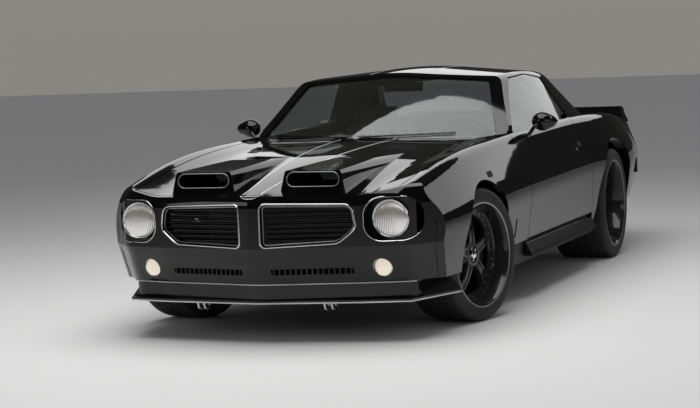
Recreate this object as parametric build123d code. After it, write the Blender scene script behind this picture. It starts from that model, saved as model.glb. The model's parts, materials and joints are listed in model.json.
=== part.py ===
"""A two-door muscle car with a long bonnet, a twin-nostril nose and wide, low-profile tyres.

Millimetres. +X is the car's left, +Y its tail and +Z up. The origin is on the ground, under the middle
of the car's length. The body's skin is lofted through a short table of sections, the nose is rolled over
at its top and tucked in at its foot, and all is divided where the real panels meet. What turns or swings
is a separate solid on its own pin.
"""

import math
import os

from build123d import *

# Overall sizes
NOSE_Y = -2433.0
TAIL_Y = 2433.0
FRONT_AXLE_Y = -1450.0
WHEELBASE = 2746.0
REAR_AXLE_Y = FRONT_AXLE_Y + WHEELBASE
SILL_Z = 205.0
# Past the body on every side, for regions that cut right through it
FAR_X = 1100.0
FAR_Y = 2600.0
FAR_Z = 1500.0

# Walls and gaps
SKIN = 26.0
DOOR_WALL = 105.0
QUARTER_WALL = 60.0
PILLAR_WALL = 42.0
END_WALL = 70.0
VALANCE_WALL = 34.0
SHEET = 12.0
GLASS = 6.0
GLASS_DEPTH = 4.0
SHUT_GAP = 7.0
PIN_FIT = 0.05
BEAD_FIT = 0.3

# Body sections from nose to tail. Half outline: centre line, valley, shoulder, widest side, sill.
BODY_COLUMNS = ("y centre_z valley_x valley_z shoulder_x shoulder_z shoulder_r "
                "side_x side_z side_r sill_x").split()
BODY_TABLE = [
    (-2500, 706, 545, 690, 742, 742, 60, 852, 560, 200, 815),
    (-1960, 800, 560, 762, 786, 800, 70, 896, 585, 240, 842),
    (-1450, 858, 585, 820, 804, 872, 70, 928, 600, 280, 862),
    (-650, 893, 600, 872, 812, 897, 55, 926, 620, 280, 862),
    (100, 900, 600, 886, 818, 908, 50, 924, 625, 280, 862),
    (700, 905, 600, 890, 826, 918, 55, 934, 635, 280, 866),
    (1296, 905, 600, 888, 834, 910, 70, 962, 640, 280, 880),
    (1900, 884, 590, 866, 800, 876, 70, 928, 630, 240, 850),
    (2500, 852, 560, 836, 742, 838, 60, 850, 600, 200, 800),
]
CENTRE_R = 1600.0
VALLEY_R = 300.0
OPEN_DROP = 60.0
LEAST_R = 6.0

# Plan outlines of the two ends, half from the centre line outwards: x, y, corner radius
NOSE_PLAN = [(0, NOSE_Y, 140), (506, -2326, 200), (724, -2262, 130), (900, -2050, 260), (1010, -1750, 0)]
TAIL_PLAN = [(0, TAIL_Y, 900), (730, 2396, 120), (880, 2270, 220), (1010, 1900, 0)]
# The nose's front stands upright from a crease to where it rolls over; below the crease it is tucked in
ROLL_TOP_Z = 770.0
ROLL_R = 105.0
TUCK_Z = 470.0
TUCK_FOOT_Z = 200.0
TUCK_BACK = 139.0

# Greenhouse sections: y, half width at the foot, half width and height at the roof's edge, centre height
CABIN_COLUMNS = "y foot_x roof_x roof_z centre_z".split()
CABIN_TABLE = [
    (-900, 826, 560, 1150, 1190),
    (-100, 838, 606, 1196, 1246),
    (350, 848, 628, 1204, 1262),
    (900, 836, 596, 1176, 1238),
    (1400, 790, 520, 1110, 1176),
    (1900, 736, 440, 1040, 1096),
]
CABIN_FOOT_Z = 790.0
ROOF_R = 80.0
# Screens: where the curved glass stands on the belt, its half chord, its bow and how far it leans
SCREEN_COLUMNS = "base_y base_z half_chord bow lean_y lean_z".split()
WINDSCREEN = dict(zip(SCREEN_COLUMNS, (-742, 872, 750, 222, 575, 373)))
BACKLIGHT = dict(zip(SCREEN_COLUMNS, (1520, 902, 640, 150, -660, 300)))

# Window outlines
SIDE_WINDOW = [(-446, 893), (-20, 1184), (300, 1196), (604, 1164), (726, 916)]
SIDE_WINDOW_R = [20, 60, 400, 40, 20]
SIDE_GLASS = [(-424, 800), (-424, 900), (-16, 1176.5), (300, 1188.5), (596.5, 1156.5), (714, 934), (574, 930),
              (574, 800)]
WINDSCREEN_CUT = [(-704, 860), (-545, 1182), (0, 1218), (545, 1182), (704, 860)]
WINDSCREEN_R = [30, 45, 900, 45, 30]
BACKLIGHT_CUT = [(-590, 926), (-470, 1136), (0, 1164), (470, 1136), (590, 926)]
BACKLIGHT_R = [60, 60, 900, 60, 60]
BELT_Z = 928.0

# Mirrors: a tapered shell turned about a cross axis, flat behind
MIRROR_PROFILE = [(822, 0), (846, 42), (890, 52), (935, 34), (970, 0)]
MIRROR_Y = -262.0
MIRROR_Z = 940.0
MIRROR_GLASS_Y = 26.0

# Shut lines
BONNET_HALF_FRONT = 690.0
BONNET_HALF_REAR = 716.0
BONNET_FRONT = [(0, -2384), (300, -2330), (505, -2282), (BONNET_HALF_FRONT, -2208)]
BONNET_REAR_Y = -706.0
BONNET_REAR_BOW = 80.0
NOSE_SEAM_Y = -2128.0
NOSE_FOOT = [(0, 398), (480, 428), (700, 450), (1000, 452)]
FENDER_FOOT_Z = 290.0
DOOR_FRONT_Y = -652.0
DOOR_REAR_TOP_Y = 596.0
DOOR_REAR_FOOT_Y = 790.0
DOOR_BELT_Z = 920.0
DOOR_FOOT_Z = 330.0
DOOR_INNER_X = 745.0
DOOR_SLOPE = (DOOR_REAR_FOOT_Y - DOOR_REAR_TOP_Y) / (DOOR_BELT_Z - DOOR_FOOT_Z)
FLANGE = 6.0
FLANGE_DEPTH = 46.0
COWL_HALF = 738.0
COWL_REAR_Y = -480.0
DECK_FRONT_Y = 1230.0
LID_FRONT_Y = 1560.0
LID_REAR_Y = 2318.0
LID_HALF = 622.0
TAIL_SEAM_Y = 2300.0
TAIL_FOOT_Z = 575.0
TAIL_LAMP = ((330, 640), (690, 745))
TAIL_LAMP_DEPTH = (6.0, 40.0)
BUMPER_HALF = 852.0
BUMPER_FOOT_Z = 455.0
SPOILER = [(2110, 780), (2265, 904), (2336, 898), (2340, 872), (2312, 866), (2312, 780)]
SPOILER_END = [(626, 1000), (626, 800), (790, 800), (742, 905)]
SPOILER_SIDE_GAP = 4.0

# Openings in the nose: the two grilles, the head lamps and the scoops' mouths
GRILLE = [(54, 476), (54, 684), (490, 672), (506, 560), (420, 490)]
GRILLE_R = [24, 24, 44, 50, 80]
GRILLE_FIELD = [(70, 492), (70, 668), (474, 656), (488, 566), (412, 506)]
GRILLE_DEPTH = (40.0, 54.0)
GRILLE_SLOTS = 8
GRILLE_PITCH = 24.5
GRILLE_BAR = 7.0
HEADLAMP = (657.0, 598.0)
HEADLAMP_R = 89.0
LENS_BOW_R = 300.0
LAMP_BOX = [(542, 494), (542, 702), (798, 702), (798, 494)]
LAMP_R = 84.0
LAMP_Y = -2236.0
LAMP_DEPTH = 30.0
LENS_DEPTH = 18.0
SCOOP_SECTION = [(112, 700), (146, 852), (424, 852), (458, 700)]
SCOOP_R = [0.01, 44, 44, 0.01]
SCOOP_SIDE = [(-2300, 700), (-2288, 834), (-1688, 852), (-1308, 844), (-1308, 700)]
SCOOP_MOUTH = [(152, 758), (152, 826), (418, 826), (418, 758)]
SCOOP_MOUTH_R = 33.0
SCOOP_MOUTH_END_Y = -2070.0

# Front valance, air dam and splitter
VALANCE_FOOT_Z = 284.0
DAM_BACK = 112.0
DAM_WALL = 28.0
DAM_HALF = 810.0
SPLITTER_PLAN = [(0, -2356), (505, -2282), (735, -2226), (872, -1862), (800, -1862), (690, -2060), (0, -2060)]
SPLITTER_Z = 196.0
SPLITTER_THICK = 15.0
SPAT_WIDE = 80.0
SPAT_TOP = 18.0
FOG_LAMP = (603.0, 364.0)
FOG_R = 44.0
FOG_Y = (-2228.0, -2180.0)
SLOT = [(75, 336), (75, 366), (470, 366), (470, 336)]
SLOT_R = 10.0

# Wheels: half width of the tyre, its radius, place of its middle, lip radius, dish depth
WHEEL_COLUMNS = "half_width radius middle_x lip_r dish".split()
FRONT_WHEEL = dict(zip(WHEEL_COLUMNS, (137.5, 337, 757, 267, 62)))
REAR_WHEEL = dict(zip(WHEEL_COLUMNS, (172.5, 341, 750, 270, 138)))
FRONT_ARCH_R = 374.0
FRONT_ARCH_IN_X = 300.0
REAR_ARCH_R = 408.0
REAR_ARCH_IN_X = 560.0
PHOTO_STEER = 14.0
LIP_SET = 6.0
LIP_THICK = 4.0
LIP_TALL = 10.0
BARREL_WALL = 12.0
TREAD = 22.0
SPOKES = 5
SPOKE_OUTLINE = [(44, 60), (30, 140)]
SPOKE_END_HALF = 44.0
SPOKE_THICK = 34.0
SPOKE_FALL = 26.0
HUB_R = 62.0
CENTRE_R_RIM = 80.0
DISC_R = 172.0
DISC_THICK = 30.0
DISC_SET = 75.0
SPINDLE_R = 22.0
CALIPER_GAP = 8.0

# Front suspension and subframe
KINGPIN_X = 680.0
STUD_R = 12.0
STUD_HALF = 152.0
ARM_EYE_R = 22.0
ARM_THICK = 22.0
ARM_SETS = (-148.0, 126.0)
RAIL_IN_X = 370.0
RAIL_OUT_X = 430.0
RAIL_Z = (240.0, 330.0)
SUBFRAME_FRONT_Y = -2110.0

# Driveline
DRIVE_Z = 300.0
GEARBOX_END_Y = -150.0
PINION_LENGTH = 160.0
PIPE_R = 25.4
PIPE_X = 250.0
PIPE_Z = 162.0
TIP_R = 28.5
TIP_LENGTH = 100.0
TIP_END_Y = 2390.0

# Floor, firewall and boot
FIREWALL_Y = -700.0
POST_FRONT_Y = -880.0
SILL_IN_X = 640.0
SILL_OUT_X = 862.0
TUNNEL_HALF = 112.0
TUNNEL_Z = 380.0
FLOOR_Z = SILL_Z + 15.0
SEAT_PAN_Z = 330.0
REAR_STEP_Y = DOOR_REAR_FOOT_Y
BULKHEAD_Y = 1183.0
BOOT_HALF = 560.0
BOOT_HIGH_Z = 470.0
BOOT_STEP_Y = 1548.0
BOOT_LOW_Z = 330.0
BOOT_END_Y = 2288.0
SPRING_X = (445.0, 495.0)
SPRING_Z = (288.0, 300.0)
HANGER_Y = (830.0, 1880.0)
HANGER_LENGTH = 50.0

# Seats and controls
SEAT_X = 390.0
SEAT_HALF = 215.0
BENCH_HALF = 540.0
STEERING_CENTRE = (370.0, -56.0, 800.0)
STEERING_TILT = 24.0
STEERING_R = 180.0
STEERING_GRIP_R = 14.0
STEERING_PIN_R = 12.0

# Hinges: pins of the doors, the bonnet and the boot lid
DOOR_PIN = (852.0, DOOR_FRONT_Y - 130.0)
DOOR_PIN_Z = (490.0, 640.0)
BONNET_PIN = (-558.0, 826.0)
BONNET_PIN_X = 540.0
BONNET_ARM = (-245.0, 858.0)
LID_PIN = (1412.0, 832.0)
LID_PIN_X = 400.0
LID_ARM = (215.0, 868.0)
ARM_SLOT_HALF = 15.0
BONNET_SLOT_Y = (-760.0, -704.0)
LID_SLOT_Y = (1543.0, 1600.0)
PIN_R = 7.0
EYE_R = 14.0
EYE_LENGTH = 44.0
EYE_GAP = 1.0
CHEEK = 12.0
ARM_R = 9.0

PARTS = {}


# Small tools for outlines and prisms

def closed_wire(points, radii=0):
    """A closed outline with each corner rounded by its own radius."""
    if radii == 0:
        return Wire(Polyline(*points, close=True).edges())
    return Wire(FilletPolyline(*points, radius=radii, close=True).edges())


def prism(points, direction, radii=0):
    """A straight prism from a closed outline along a vector."""
    return Solid.extrude(Face(closed_wire(points, radii)), Vector(*direction))


def plan_prism(points, low, high, radii=0):
    """An (x, y) outline raised from one height to another."""
    return prism([(x, y, low) for x, y in points], (0, 0, high - low), radii)


def side_prism(points, start, end, radii=0):
    """A (y, z) outline carried across the car."""
    return prism([(start, y, z) for y, z in points], (end - start, 0, 0), radii)


def front_prism(points, start, end, radii=0):
    """An (x, z) outline carried along the car."""
    return prism([(x, start, z) for x, z in points], (0, end - start, 0), radii)


def block(low, high):
    """A box between two corners."""
    size = [b - a for a, b in zip(low, high)]
    return Solid.make_box(*size).moved(Location(low))


def blocks(corners):
    """One solid from a table of boxes."""
    solids = [block(low, high) for low, high in corners]
    return solids[0].fuse(*solids[1:])


def rod(start, end, radius):
    """A round bar between two points."""
    along = Vector(end) - Vector(start)
    return Solid.make_cylinder(radius, along.length, Plane(start, z_dir=along))


def bent_bar(points, radius):
    """A round bar that follows a bent path."""
    pieces = [rod(a, b, radius) for a, b in zip(points, points[1:])]
    pieces += [Solid.make_sphere(radius).moved(Location(p)) for p in points[1:-1]]
    return pieces[0].fuse(*pieces[1:])


def turned(profile, axis_z, axis_y):
    """A ring turned about a wheel's axis from (x, radius) points."""
    face = Face(closed_wire([(x, axis_y, axis_z + r) for x, r in profile]))
    return Solid.revolve(face, 360, Axis((0, axis_y, axis_z), (1, 0, 0)))


def other_side(shape):
    """The same piece on the car's right."""
    return shape.mirror(Plane.YZ)


def both_sides(shape):
    """The piece and its twin on the right."""
    return Compound([shape, other_side(shape)])


def whole(shape):
    """A left half fused with its twin."""
    return main_solid(shape.fuse(other_side(shape)))


def cut_both(shape, *cuts):
    """A shape less some cuts on the left and their twins on the right."""
    for cut in cuts:
        shape = shape - cut - other_side(cut)
    return shape


def main_solid(shape):
    """The largest solid of a cut shape."""
    return max(shape.solids(), key=lambda s: s.volume)


def mirrored_outline(half):
    """A half outline from the centre line outwards, closed over to the other side."""
    left = [(-x, y) for x, y in reversed(half) if x]
    return left + list(half)


def add(name, shape):
    """Keeps one node's solids."""
    PARTS[name] = shape


def add_pair(name, shape):
    """Keeps a node for the left side and its twin for the right."""
    add(f"{name}_left", shape)
    add(f"{name}_right", other_side(shape))


# Body skin

def offset_half(half, inset):
    """Half outline from the centre line down to the sill, moved inwards by inset."""
    lines = []
    for (x0, z0), (x1, z1) in zip(half, half[1:]):
        length = math.hypot(x1 - x0, z1 - z0)
        ux, uz = (x1 - x0) / length, (z1 - z0) / length
        lines.append((x0 + uz * inset, z0 - ux * inset, ux, uz))
    x, z, ux, uz = lines[0]
    moved = [(0.0, z - x * uz / ux)]
    for (xa, za, ua, wa), (xb, zb, ub, wb) in zip(lines, lines[1:]):
        share = ((xb - xa) * wb - (zb - za) * ub) / (ua * wb - wa * ub)
        moved.append((xa + share * ua, za + share * wa))
    x, z, ux, uz = lines[-1]
    foot = half[-1][1] - (OPEN_DROP if inset else 0.0)
    moved.append((x + ux * (foot - z) / uz, foot))
    return moved


def ring(y, half, radii):
    """A whole section at one station, from a half outline and its corners' radii after the centre."""
    left = [(-x, y, z) for x, z in reversed(half[1:])]
    right = [(x, y, z) for x, z in half]
    corner = list(reversed(radii[1:])) + list(radii)
    path = FilletPolyline(*left, *right, radius=corner)
    return Wire([*path.edges(), Edge.make_line(path @ 1, path @ 0)])


def body_solid(inset=0.0):
    """The body's outer form, or the space left inside a wall of that thickness."""
    rings = []
    for row in BODY_TABLE:
        s = dict(zip(BODY_COLUMNS, row))
        half = [(0, s["centre_z"]), (s["valley_x"], s["valley_z"]), (s["shoulder_x"], s["shoulder_z"]),
                (s["side_x"], s["side_z"]), (s["sill_x"], SILL_Z)]
        radii = [CENTRE_R, VALLEY_R + inset, max(s["shoulder_r"] - inset, LEAST_R), s["side_r"] - inset]
        rings.append(ring(s["y"], offset_half(half, inset), radii))
    return Solid.make_loft(rings)


def end_outline(plan, back):
    """One end's whole plan outline, drawn in along the car, with its corners' radii."""
    inward = math.copysign(back, -plan[0][1])
    half = [(x, y + inward) for x, y, r in plan] + [(plan[-1][0], 0)]
    radii = [r for x, y, r in plan] + [0]
    points = half + [(-x, y) for x, y in reversed(half[1:])]
    return points, radii + list(reversed(radii[1:]))


def end_prism(plan, back=0.0):
    """What lies behind one end's upright outline."""
    points, radii = end_outline(plan, back)
    return plan_prism(points, 0, FAR_Z, radii)


def nose_form(wall=0.0, top=FAR_Z, roll=0.0):
    """What lies behind the nose's front, drawn back by a wall: tucked in below, upright, rolled over above."""
    points, radii = end_outline(NOSE_PLAN, wall)
    upright = plan_prism(points, TUCK_Z, top, radii)
    if roll:
        brow = [e for e in upright.edges() if e.center().Z > top - 1 and e.center().Y < NOSE_PLAN[-1][1]]
        upright = upright.fillet(roll, brow)
    foot, radii = end_outline(NOSE_PLAN, wall + TUCK_BACK)
    rings = [closed_wire([(x, y, z) for x, y in outline], radii)
             for outline, z in ((foot, TUCK_FOOT_Z), (points, TUCK_Z))]
    return main_solid(upright.fuse(Solid.make_loft(rings, ruled=True)))


def cabin_solid(inset=0.0):
    """Roof, pillars and screens as one form, or the space inside a wall of that thickness."""
    rings = []
    for row in CABIN_TABLE:
        s = dict(zip(CABIN_COLUMNS, row))
        half = [(0, s["centre_z"]), (s["roof_x"], s["roof_z"]), (s["foot_x"], CABIN_FOOT_Z)]
        rings.append(ring(s["y"], offset_half(half, inset), [CENTRE_R, max(ROOF_R - inset, LEAST_R)]))
    form = Solid.make_loft(rings)
    for screen, facing in ((WINDSCREEN, 1), (BACKLIGHT, -1)):
        form = form & screen_prism(screen, facing, inset)
    return main_solid(form)


def screen_prism(screen, facing, inset):
    """Everything behind a bowed, leaning screen. Facing is 1 for the windscreen and -1 for the backlight."""
    lean = math.hypot(screen["lean_y"], screen["lean_z"])
    shift = inset * lean / screen["lean_z"] * facing
    half = screen["half_chord"] * 1.3
    radius = (screen["half_chord"] ** 2 + screen["bow"] ** 2) / (2 * screen["bow"])
    ends_y = (radius - math.sqrt(radius ** 2 - half ** 2)) * facing
    foot_y = screen["base_y"] + shift - screen["lean_y"]
    foot_z = screen["base_z"] - screen["lean_z"]
    back_y = foot_y + FAR_Y * facing
    arc = ThreePointArc((-half, foot_y + ends_y, foot_z), (0, foot_y, foot_z), (half, foot_y + ends_y, foot_z))
    back = Polyline(arc @ 1, (half, back_y, foot_z), (-half, back_y, foot_z), arc @ 0)
    rise = Vector(0, screen["lean_y"], screen["lean_z"]) * 3
    return Solid.extrude(Face(Wire([*arc.edges(), *back.edges()])), rise)


raw = body_solid()
inside = body_solid(SKIN)
flange_inside = body_solid(FLANGE)
nose_shape = nose_form()
rolled_nose = nose_form(0, ROLL_TOP_Z, ROLL_R)
tail_shape = end_prism(TAIL_PLAN)
cabin_skin = cabin_solid() - cabin_solid(PILLAR_WALL)
glass_skin = cabin_solid(GLASS_DEPTH) - cabin_solid(GLASS_DEPTH + GLASS)


# Regions that the panels are cut from

def bonnet_region(grow=0.0):
    """A tall prism over the bonnet's outline, grown on every side."""
    front = [(x + (grow if x == BONNET_HALF_FRONT else 0), y - grow) for x, y in BONNET_FRONT]
    corner = (BONNET_HALF_REAR + grow, BONNET_REAR_Y + grow)
    outline = mirrored_outline(front + [corner])
    foot_z, tall = 500, 700
    edge = Polyline(*[(x, y, foot_z) for x, y in outline])
    bow = ThreePointArc(edge @ 1, (0, corner[1] - BONNET_REAR_BOW, foot_z), edge @ 0)
    return Solid.extrude(Face(Wire([*edge.edges(), *bow.edges()])), Vector(0, 0, tall))


def door_outline(grow=0.0, draw_in=0.0):
    """Side outline of a door below the belt, grown on every side and drawn in at its two ends."""
    top_z = 1000
    front = DOOR_FRONT_Y - grow + draw_in
    rear_top = DOOR_REAR_TOP_Y - DOOR_SLOPE * (top_z - DOOR_BELT_Z) + grow - draw_in
    return [(front, DOOR_FOOT_Z - grow), (front, top_z), (rear_top, top_z),
            (DOOR_REAR_FOOT_Y + grow - draw_in, DOOR_FOOT_Z - grow)]


def lid_region(grow=0.0, draw_in=0.0):
    """A tall prism over the boot lid's outline."""
    side = LID_HALF + grow
    return block((-side, LID_FRONT_Y - grow + draw_in, 650), (side, LID_REAR_Y + grow, 1200))


def arch(wheel, axle_y, radius, inner_x):
    """The round space of a wheel on the car's left."""
    return rod((inner_x, axle_y, wheel["radius"]), (FAR_X, axle_y, wheel["radius"]), radius)


front_arch = arch(FRONT_WHEEL, FRONT_AXLE_Y, FRONT_ARCH_R, FRONT_ARCH_IN_X)
rear_arch = arch(REAR_WHEEL, REAR_AXLE_Y, REAR_ARCH_R, REAR_ARCH_IN_X)
foot_line = mirrored_outline(NOSE_FOOT)
above_foot = front_prism(foot_line + [(1000, 1000), (-1000, 1000)], -FAR_Y, NOSE_SEAM_Y)
below_foot = front_prism(foot_line + [(1000, VALANCE_FOOT_Z), (-1000, VALANCE_FOOT_Z)], -FAR_Y, NOSE_SEAM_Y)


# Bonnet, with its two scoops and goose-neck hinges

def hinge_arm(pin, pin_x, reach, top):
    """A goose-neck bar from an eye on a cross pin, under the panel's edge and up to its underside."""
    y, z = pin
    drop, neck = 115, math.copysign(75, reach)
    eye = rod((pin_x - EYE_LENGTH / 2, y, z), (pin_x + EYE_LENGTH / 2, y, z), EYE_R)
    bar = bent_bar([(pin_x, y, z), (pin_x, y + neck, z - drop), (pin_x, y + reach, z - drop),
                    (pin_x, y + reach, top)], ARM_R)
    return eye.fuse(bar) - rod((pin_x - 100, y, z), (pin_x + 100, y, z), PIN_R + PIN_FIT)


def arm_slot(pin_x, ends_y):
    """The notch in a fixed panel's edge that an opened panel's arm swings into."""
    return block((pin_x - ARM_SLOT_HALF, ends_y[0], 700), (pin_x + ARM_SLOT_HALF, ends_y[1], 1000))


def hinge_pin(pin, pin_x, facing):
    """The pin of one goose-neck hinge, hung from the skin by a cheek at each side of the eye."""
    y, z = pin
    half = EYE_LENGTH / 2 + EYE_GAP
    near, far = sorted((y - EYE_R * facing, y + 30 * facing))
    piece = rod((pin_x - half - CHEEK, y, z), (pin_x + half + CHEEK, y, z), PIN_R)
    for x in (pin_x - half - CHEEK, pin_x + half):
        piece = piece.fuse(block((x, near, z - EYE_R), (x + CHEEK, far, z + 62)) & raw)
    return piece


bonnet = (raw & bonnet_region()) - inside
rear_strip = bonnet_region() - bonnet_region().moved(Location((0, -FLANGE_DEPTH, 0)))
bonnet = bonnet - (flange_inside & rear_strip)
scoop = front_prism(SCOOP_SECTION, -FAR_Y, 0, SCOOP_R) & side_prism(SCOOP_SIDE, 0, FAR_X)
scoop = (scoop & bonnet_region()) - inside
bonnet = cut_both(bonnet.fuse(scoop, other_side(scoop)),
                  front_prism(SCOOP_MOUTH, -FAR_Y, SCOOP_MOUTH_END_Y, SCOOP_MOUTH_R))
bonnet = bonnet.fuse(*[hinge_arm(BONNET_PIN, x, *BONNET_ARM) for x in (BONNET_PIN_X, -BONNET_PIN_X)])
add("bonnet", main_solid(bonnet))

# Nose, valance, fenders and cowl

grille_cut = front_prism(GRILLE, -FAR_Y, NOSE_SEAM_Y, GRILLE_R)
lamp_cut = front_prism(LAMP_BOX, -FAR_Y, NOSE_SEAM_Y, LAMP_R)
nose = (raw & above_foot & rolled_nose) - ((inside & above_foot) & end_prism(NOSE_PLAN, END_WALL))
nose = cut_both(nose - bonnet_region(SHUT_GAP), grille_cut, lamp_cut)
add("nose_panel", main_solid(nose))

fog_x, fog_z = FOG_LAMP
fog = rod((fog_x, FOG_Y[0], fog_z), (fog_x, FOG_Y[1], fog_z), FOG_R)
fog_hole = rod((fog_x, -FAR_Y, fog_z), (fog_x, NOSE_SEAM_Y, fog_z), FOG_R)
valance = (raw & below_foot & nose_shape) - nose_form(VALANCE_WALL)
valance = cut_both(valance, front_prism(SLOT, -FAR_Y, NOSE_SEAM_Y, SLOT_R), fog_hole)
add("front_valance", main_solid(valance))

fender_region = block((480, NOSE_SEAM_Y, SILL_Z), (FAR_X, DOOR_FRONT_Y - SHUT_GAP, 1000))
fender = (raw & fender_region & nose_shape) - inside - bonnet_region(SHUT_GAP) - front_arch
cowl_front_y = BONNET_REAR_Y - BONNET_REAR_BOW
for low, high in (((0, -FAR_Y, 0), (FAR_X, FRONT_AXLE_Y, FENDER_FOOT_Z)),
                  ((0, FRONT_AXLE_Y, 0), (FAR_X, 0, DOOR_FOOT_Z - SHUT_GAP)),
                  ((0, cowl_front_y, 0), (COWL_HALF, 0, FAR_Z))):
    fender = fender - block(low, high)
add_pair("fender", main_solid(fender))

cowl = (raw & block((-COWL_HALF, cowl_front_y, 700), (COWL_HALF, COWL_REAR_Y, 1000))) - inside
cowl = cut_both(cowl - bonnet_region(SHUT_GAP), arm_slot(BONNET_PIN_X, BONNET_SLOT_Y))
cowl = cowl.fuse(*[hinge_pin(BONNET_PIN, x, 1) for x in (BONNET_PIN_X, -BONNET_PIN_X)])
add("cowl_panel", main_solid(cowl))

# Doors with their glass and mirrors

pin_x, pin_y = DOOR_PIN
door = (raw & side_prism(door_outline(), DOOR_INNER_X, FAR_X)) - body_solid(DOOR_WALL)
door_edges = side_prism(door_outline(1), 500, FAR_X) - side_prism(door_outline(2, FLANGE_DEPTH), 500, FAR_X)
door = door - (flange_inside & door_edges)
for z in DOOR_PIN_Z:
    neck = bent_bar([(pin_x, pin_y, z), (pin_x - 110, pin_y + 70, z), (pin_x - 110, pin_y + 190, z),
                     (pin_x - 10, pin_y + 200, z)], ARM_R)
    eye = rod((pin_x, pin_y, z - EYE_LENGTH / 2), (pin_x, pin_y, z + EYE_LENGTH / 2), EYE_R)
    door = door.fuse(neck, eye)
door = door - rod((pin_x, pin_y, 0), (pin_x, pin_y, FAR_Z), PIN_R + PIN_FIT)
door_glass = main_solid(glass_skin & side_prism(SIDE_GLASS, 400, FAR_X))
add_pair("door", main_solid(door - door_glass))
add_pair("door_glass", door_glass)

mirror_stalk = bent_bar([(806, -340, 850), (850, -322, 915), (872, -290, 930)], 11)
mirror_edge = Edge.make_spline([Vector(x, MIRROR_Y + r, MIRROR_Z) for x, r in MIRROR_PROFILE],
                               tangents=[Vector(0, 1, 0), Vector(0.7, -1, 0)])
mirror_face = Face(Wire([mirror_edge, Edge.make_line(mirror_edge @ 1, mirror_edge @ 0)]))
mirror_shell = Solid.revolve(mirror_face, 360, Axis((0, MIRROR_Y, MIRROR_Z), (1, 0, 0)))
mirror_shell = mirror_shell - block((0, MIRROR_Y + MIRROR_GLASS_Y, 0), (FAR_X, 0, FAR_Z))
add_pair("mirror", main_solid(mirror_stalk - raw).fuse(mirror_shell))

# Roof with its pillars, and the fixed glass

door_space = side_prism(door_outline(SHUT_GAP), COWL_HALF, FAR_X) & block((0, -FAR_Y, 0), (FAR_X, FAR_Y, BELT_Z))
window = side_prism(SIDE_WINDOW, 400, FAR_X, SIDE_WINDOW_R)
window_front, window_rear = SIDE_WINDOW[0][0], SIDE_WINDOW[-1][0]
window_drop = block((600, window_front, 700), (FAR_X, window_rear, BELT_Z + 2))
screen_cut = front_prism(WINDSCREEN_CUT, -1100, -100, WINDSCREEN_R)
back_cut = front_prism(BACKLIGHT_CUT, 780, 1900, BACKLIGHT_R)
roof = cut_both(cabin_skin - screen_cut - back_cut - raw, window, window_drop, door_space)
add("roof_panel", main_solid(roof))
add("windscreen", main_solid((glass_skin & screen_cut) - raw))
add("rear_window", main_solid((glass_skin & back_cut) - raw))

# Rear deck, boot lid, quarters, tail and spoiler

deck_half = LID_HALF + SHUT_GAP
deck = raw & block((-deck_half, DECK_FRONT_Y, 700), (deck_half, LID_FRONT_Y - SHUT_GAP, 1000))
deck = cut_both(deck - inside, arm_slot(LID_PIN_X, LID_SLOT_Y))
deck = deck.fuse(*[hinge_pin(LID_PIN, x, -1) for x in (LID_PIN_X, -LID_PIN_X)])
add("rear_deck", main_solid(deck))

lid = (raw & lid_region()) - inside
lid = lid - (flange_inside & (lid_region() - lid_region(0, FLANGE_DEPTH)))
lid = lid.fuse(*[hinge_arm(LID_PIN, x, *LID_ARM) for x in (LID_PIN_X, -LID_PIN_X)])
add("boot_lid", main_solid(lid))

door_top, door_foot = door_outline(SHUT_GAP)[2:]
quarter_side = [door_top, door_foot, (door_foot[0], SILL_Z + 5), (TAIL_SEAM_Y, 400), (TAIL_SEAM_Y, 1000)]
quarter = (raw & side_prism(quarter_side, deck_half, FAR_X) & tail_shape) - body_solid(QUARTER_WALL) - rear_arch
quarter = quarter - block((0, 0, 500), (DOOR_INNER_X, DECK_FRONT_Y, 1000))
add_pair("quarter", main_solid(quarter))

(lamp_in, lamp_low), (lamp_out, lamp_high) = TAIL_LAMP
lamp_space = block((lamp_in, TAIL_SEAM_Y, lamp_low), (lamp_out, FAR_Y, lamp_high))
tail = raw & block((-1000, TAIL_SEAM_Y, TAIL_FOOT_Z), (1000, FAR_Y, 1000)) & tail_shape
tail = tail - (inside & end_prism(TAIL_PLAN, END_WALL)) - lid_region(SHUT_GAP)
add("tail_panel", main_solid(cut_both(tail, lamp_space)))
lamp_front, lamp_back = TAIL_LAMP_DEPTH
lamp = (lamp_space & end_prism(TAIL_PLAN, lamp_front)) - end_prism(TAIL_PLAN, lamp_back)
add("tail_lamps", both_sides(main_solid(lamp)))

bumper = block((-BUMPER_HALF, TAIL_SEAM_Y, BUMPER_FOOT_Z), (BUMPER_HALF, FAR_Y, TAIL_FOOT_Z)) & tail_shape
add("rear_bumper", main_solid(bumper - end_prism(TAIL_PLAN, END_WALL)))

spoiler = side_prism(SPOILER, 0, 1000) - raw
add("spoiler_centre", whole(spoiler & block((0, 0, 0), (LID_HALF - SPOILER_SIDE_GAP, FAR_Y, FAR_Z))))
add("spoiler_ends", both_sides(main_solid(spoiler & front_prism(SPOILER_END, 2000, 2500))))

# Grilles, lamps, air dam and splitter

grille_front, grille_back = GRILLE_DEPTH
grille = (grille_cut & end_prism(NOSE_PLAN, grille_front)) - end_prism(NOSE_PLAN, grille_back)
grille_field = front_prism(GRILLE_FIELD, -FAR_Y, NOSE_SEAM_Y, GRILLE_R)
for i in range(GRILLE_SLOTS):
    low = GRILLE[0][1] + GRILLE_BAR + i * GRILLE_PITCH
    slot = block((0, -FAR_Y, low), (FAR_X, NOSE_SEAM_Y, low + GRILLE_PITCH - GRILLE_BAR))
    grille = grille - (slot & grille_field)
add("grilles", both_sides(main_solid(grille)))

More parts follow.
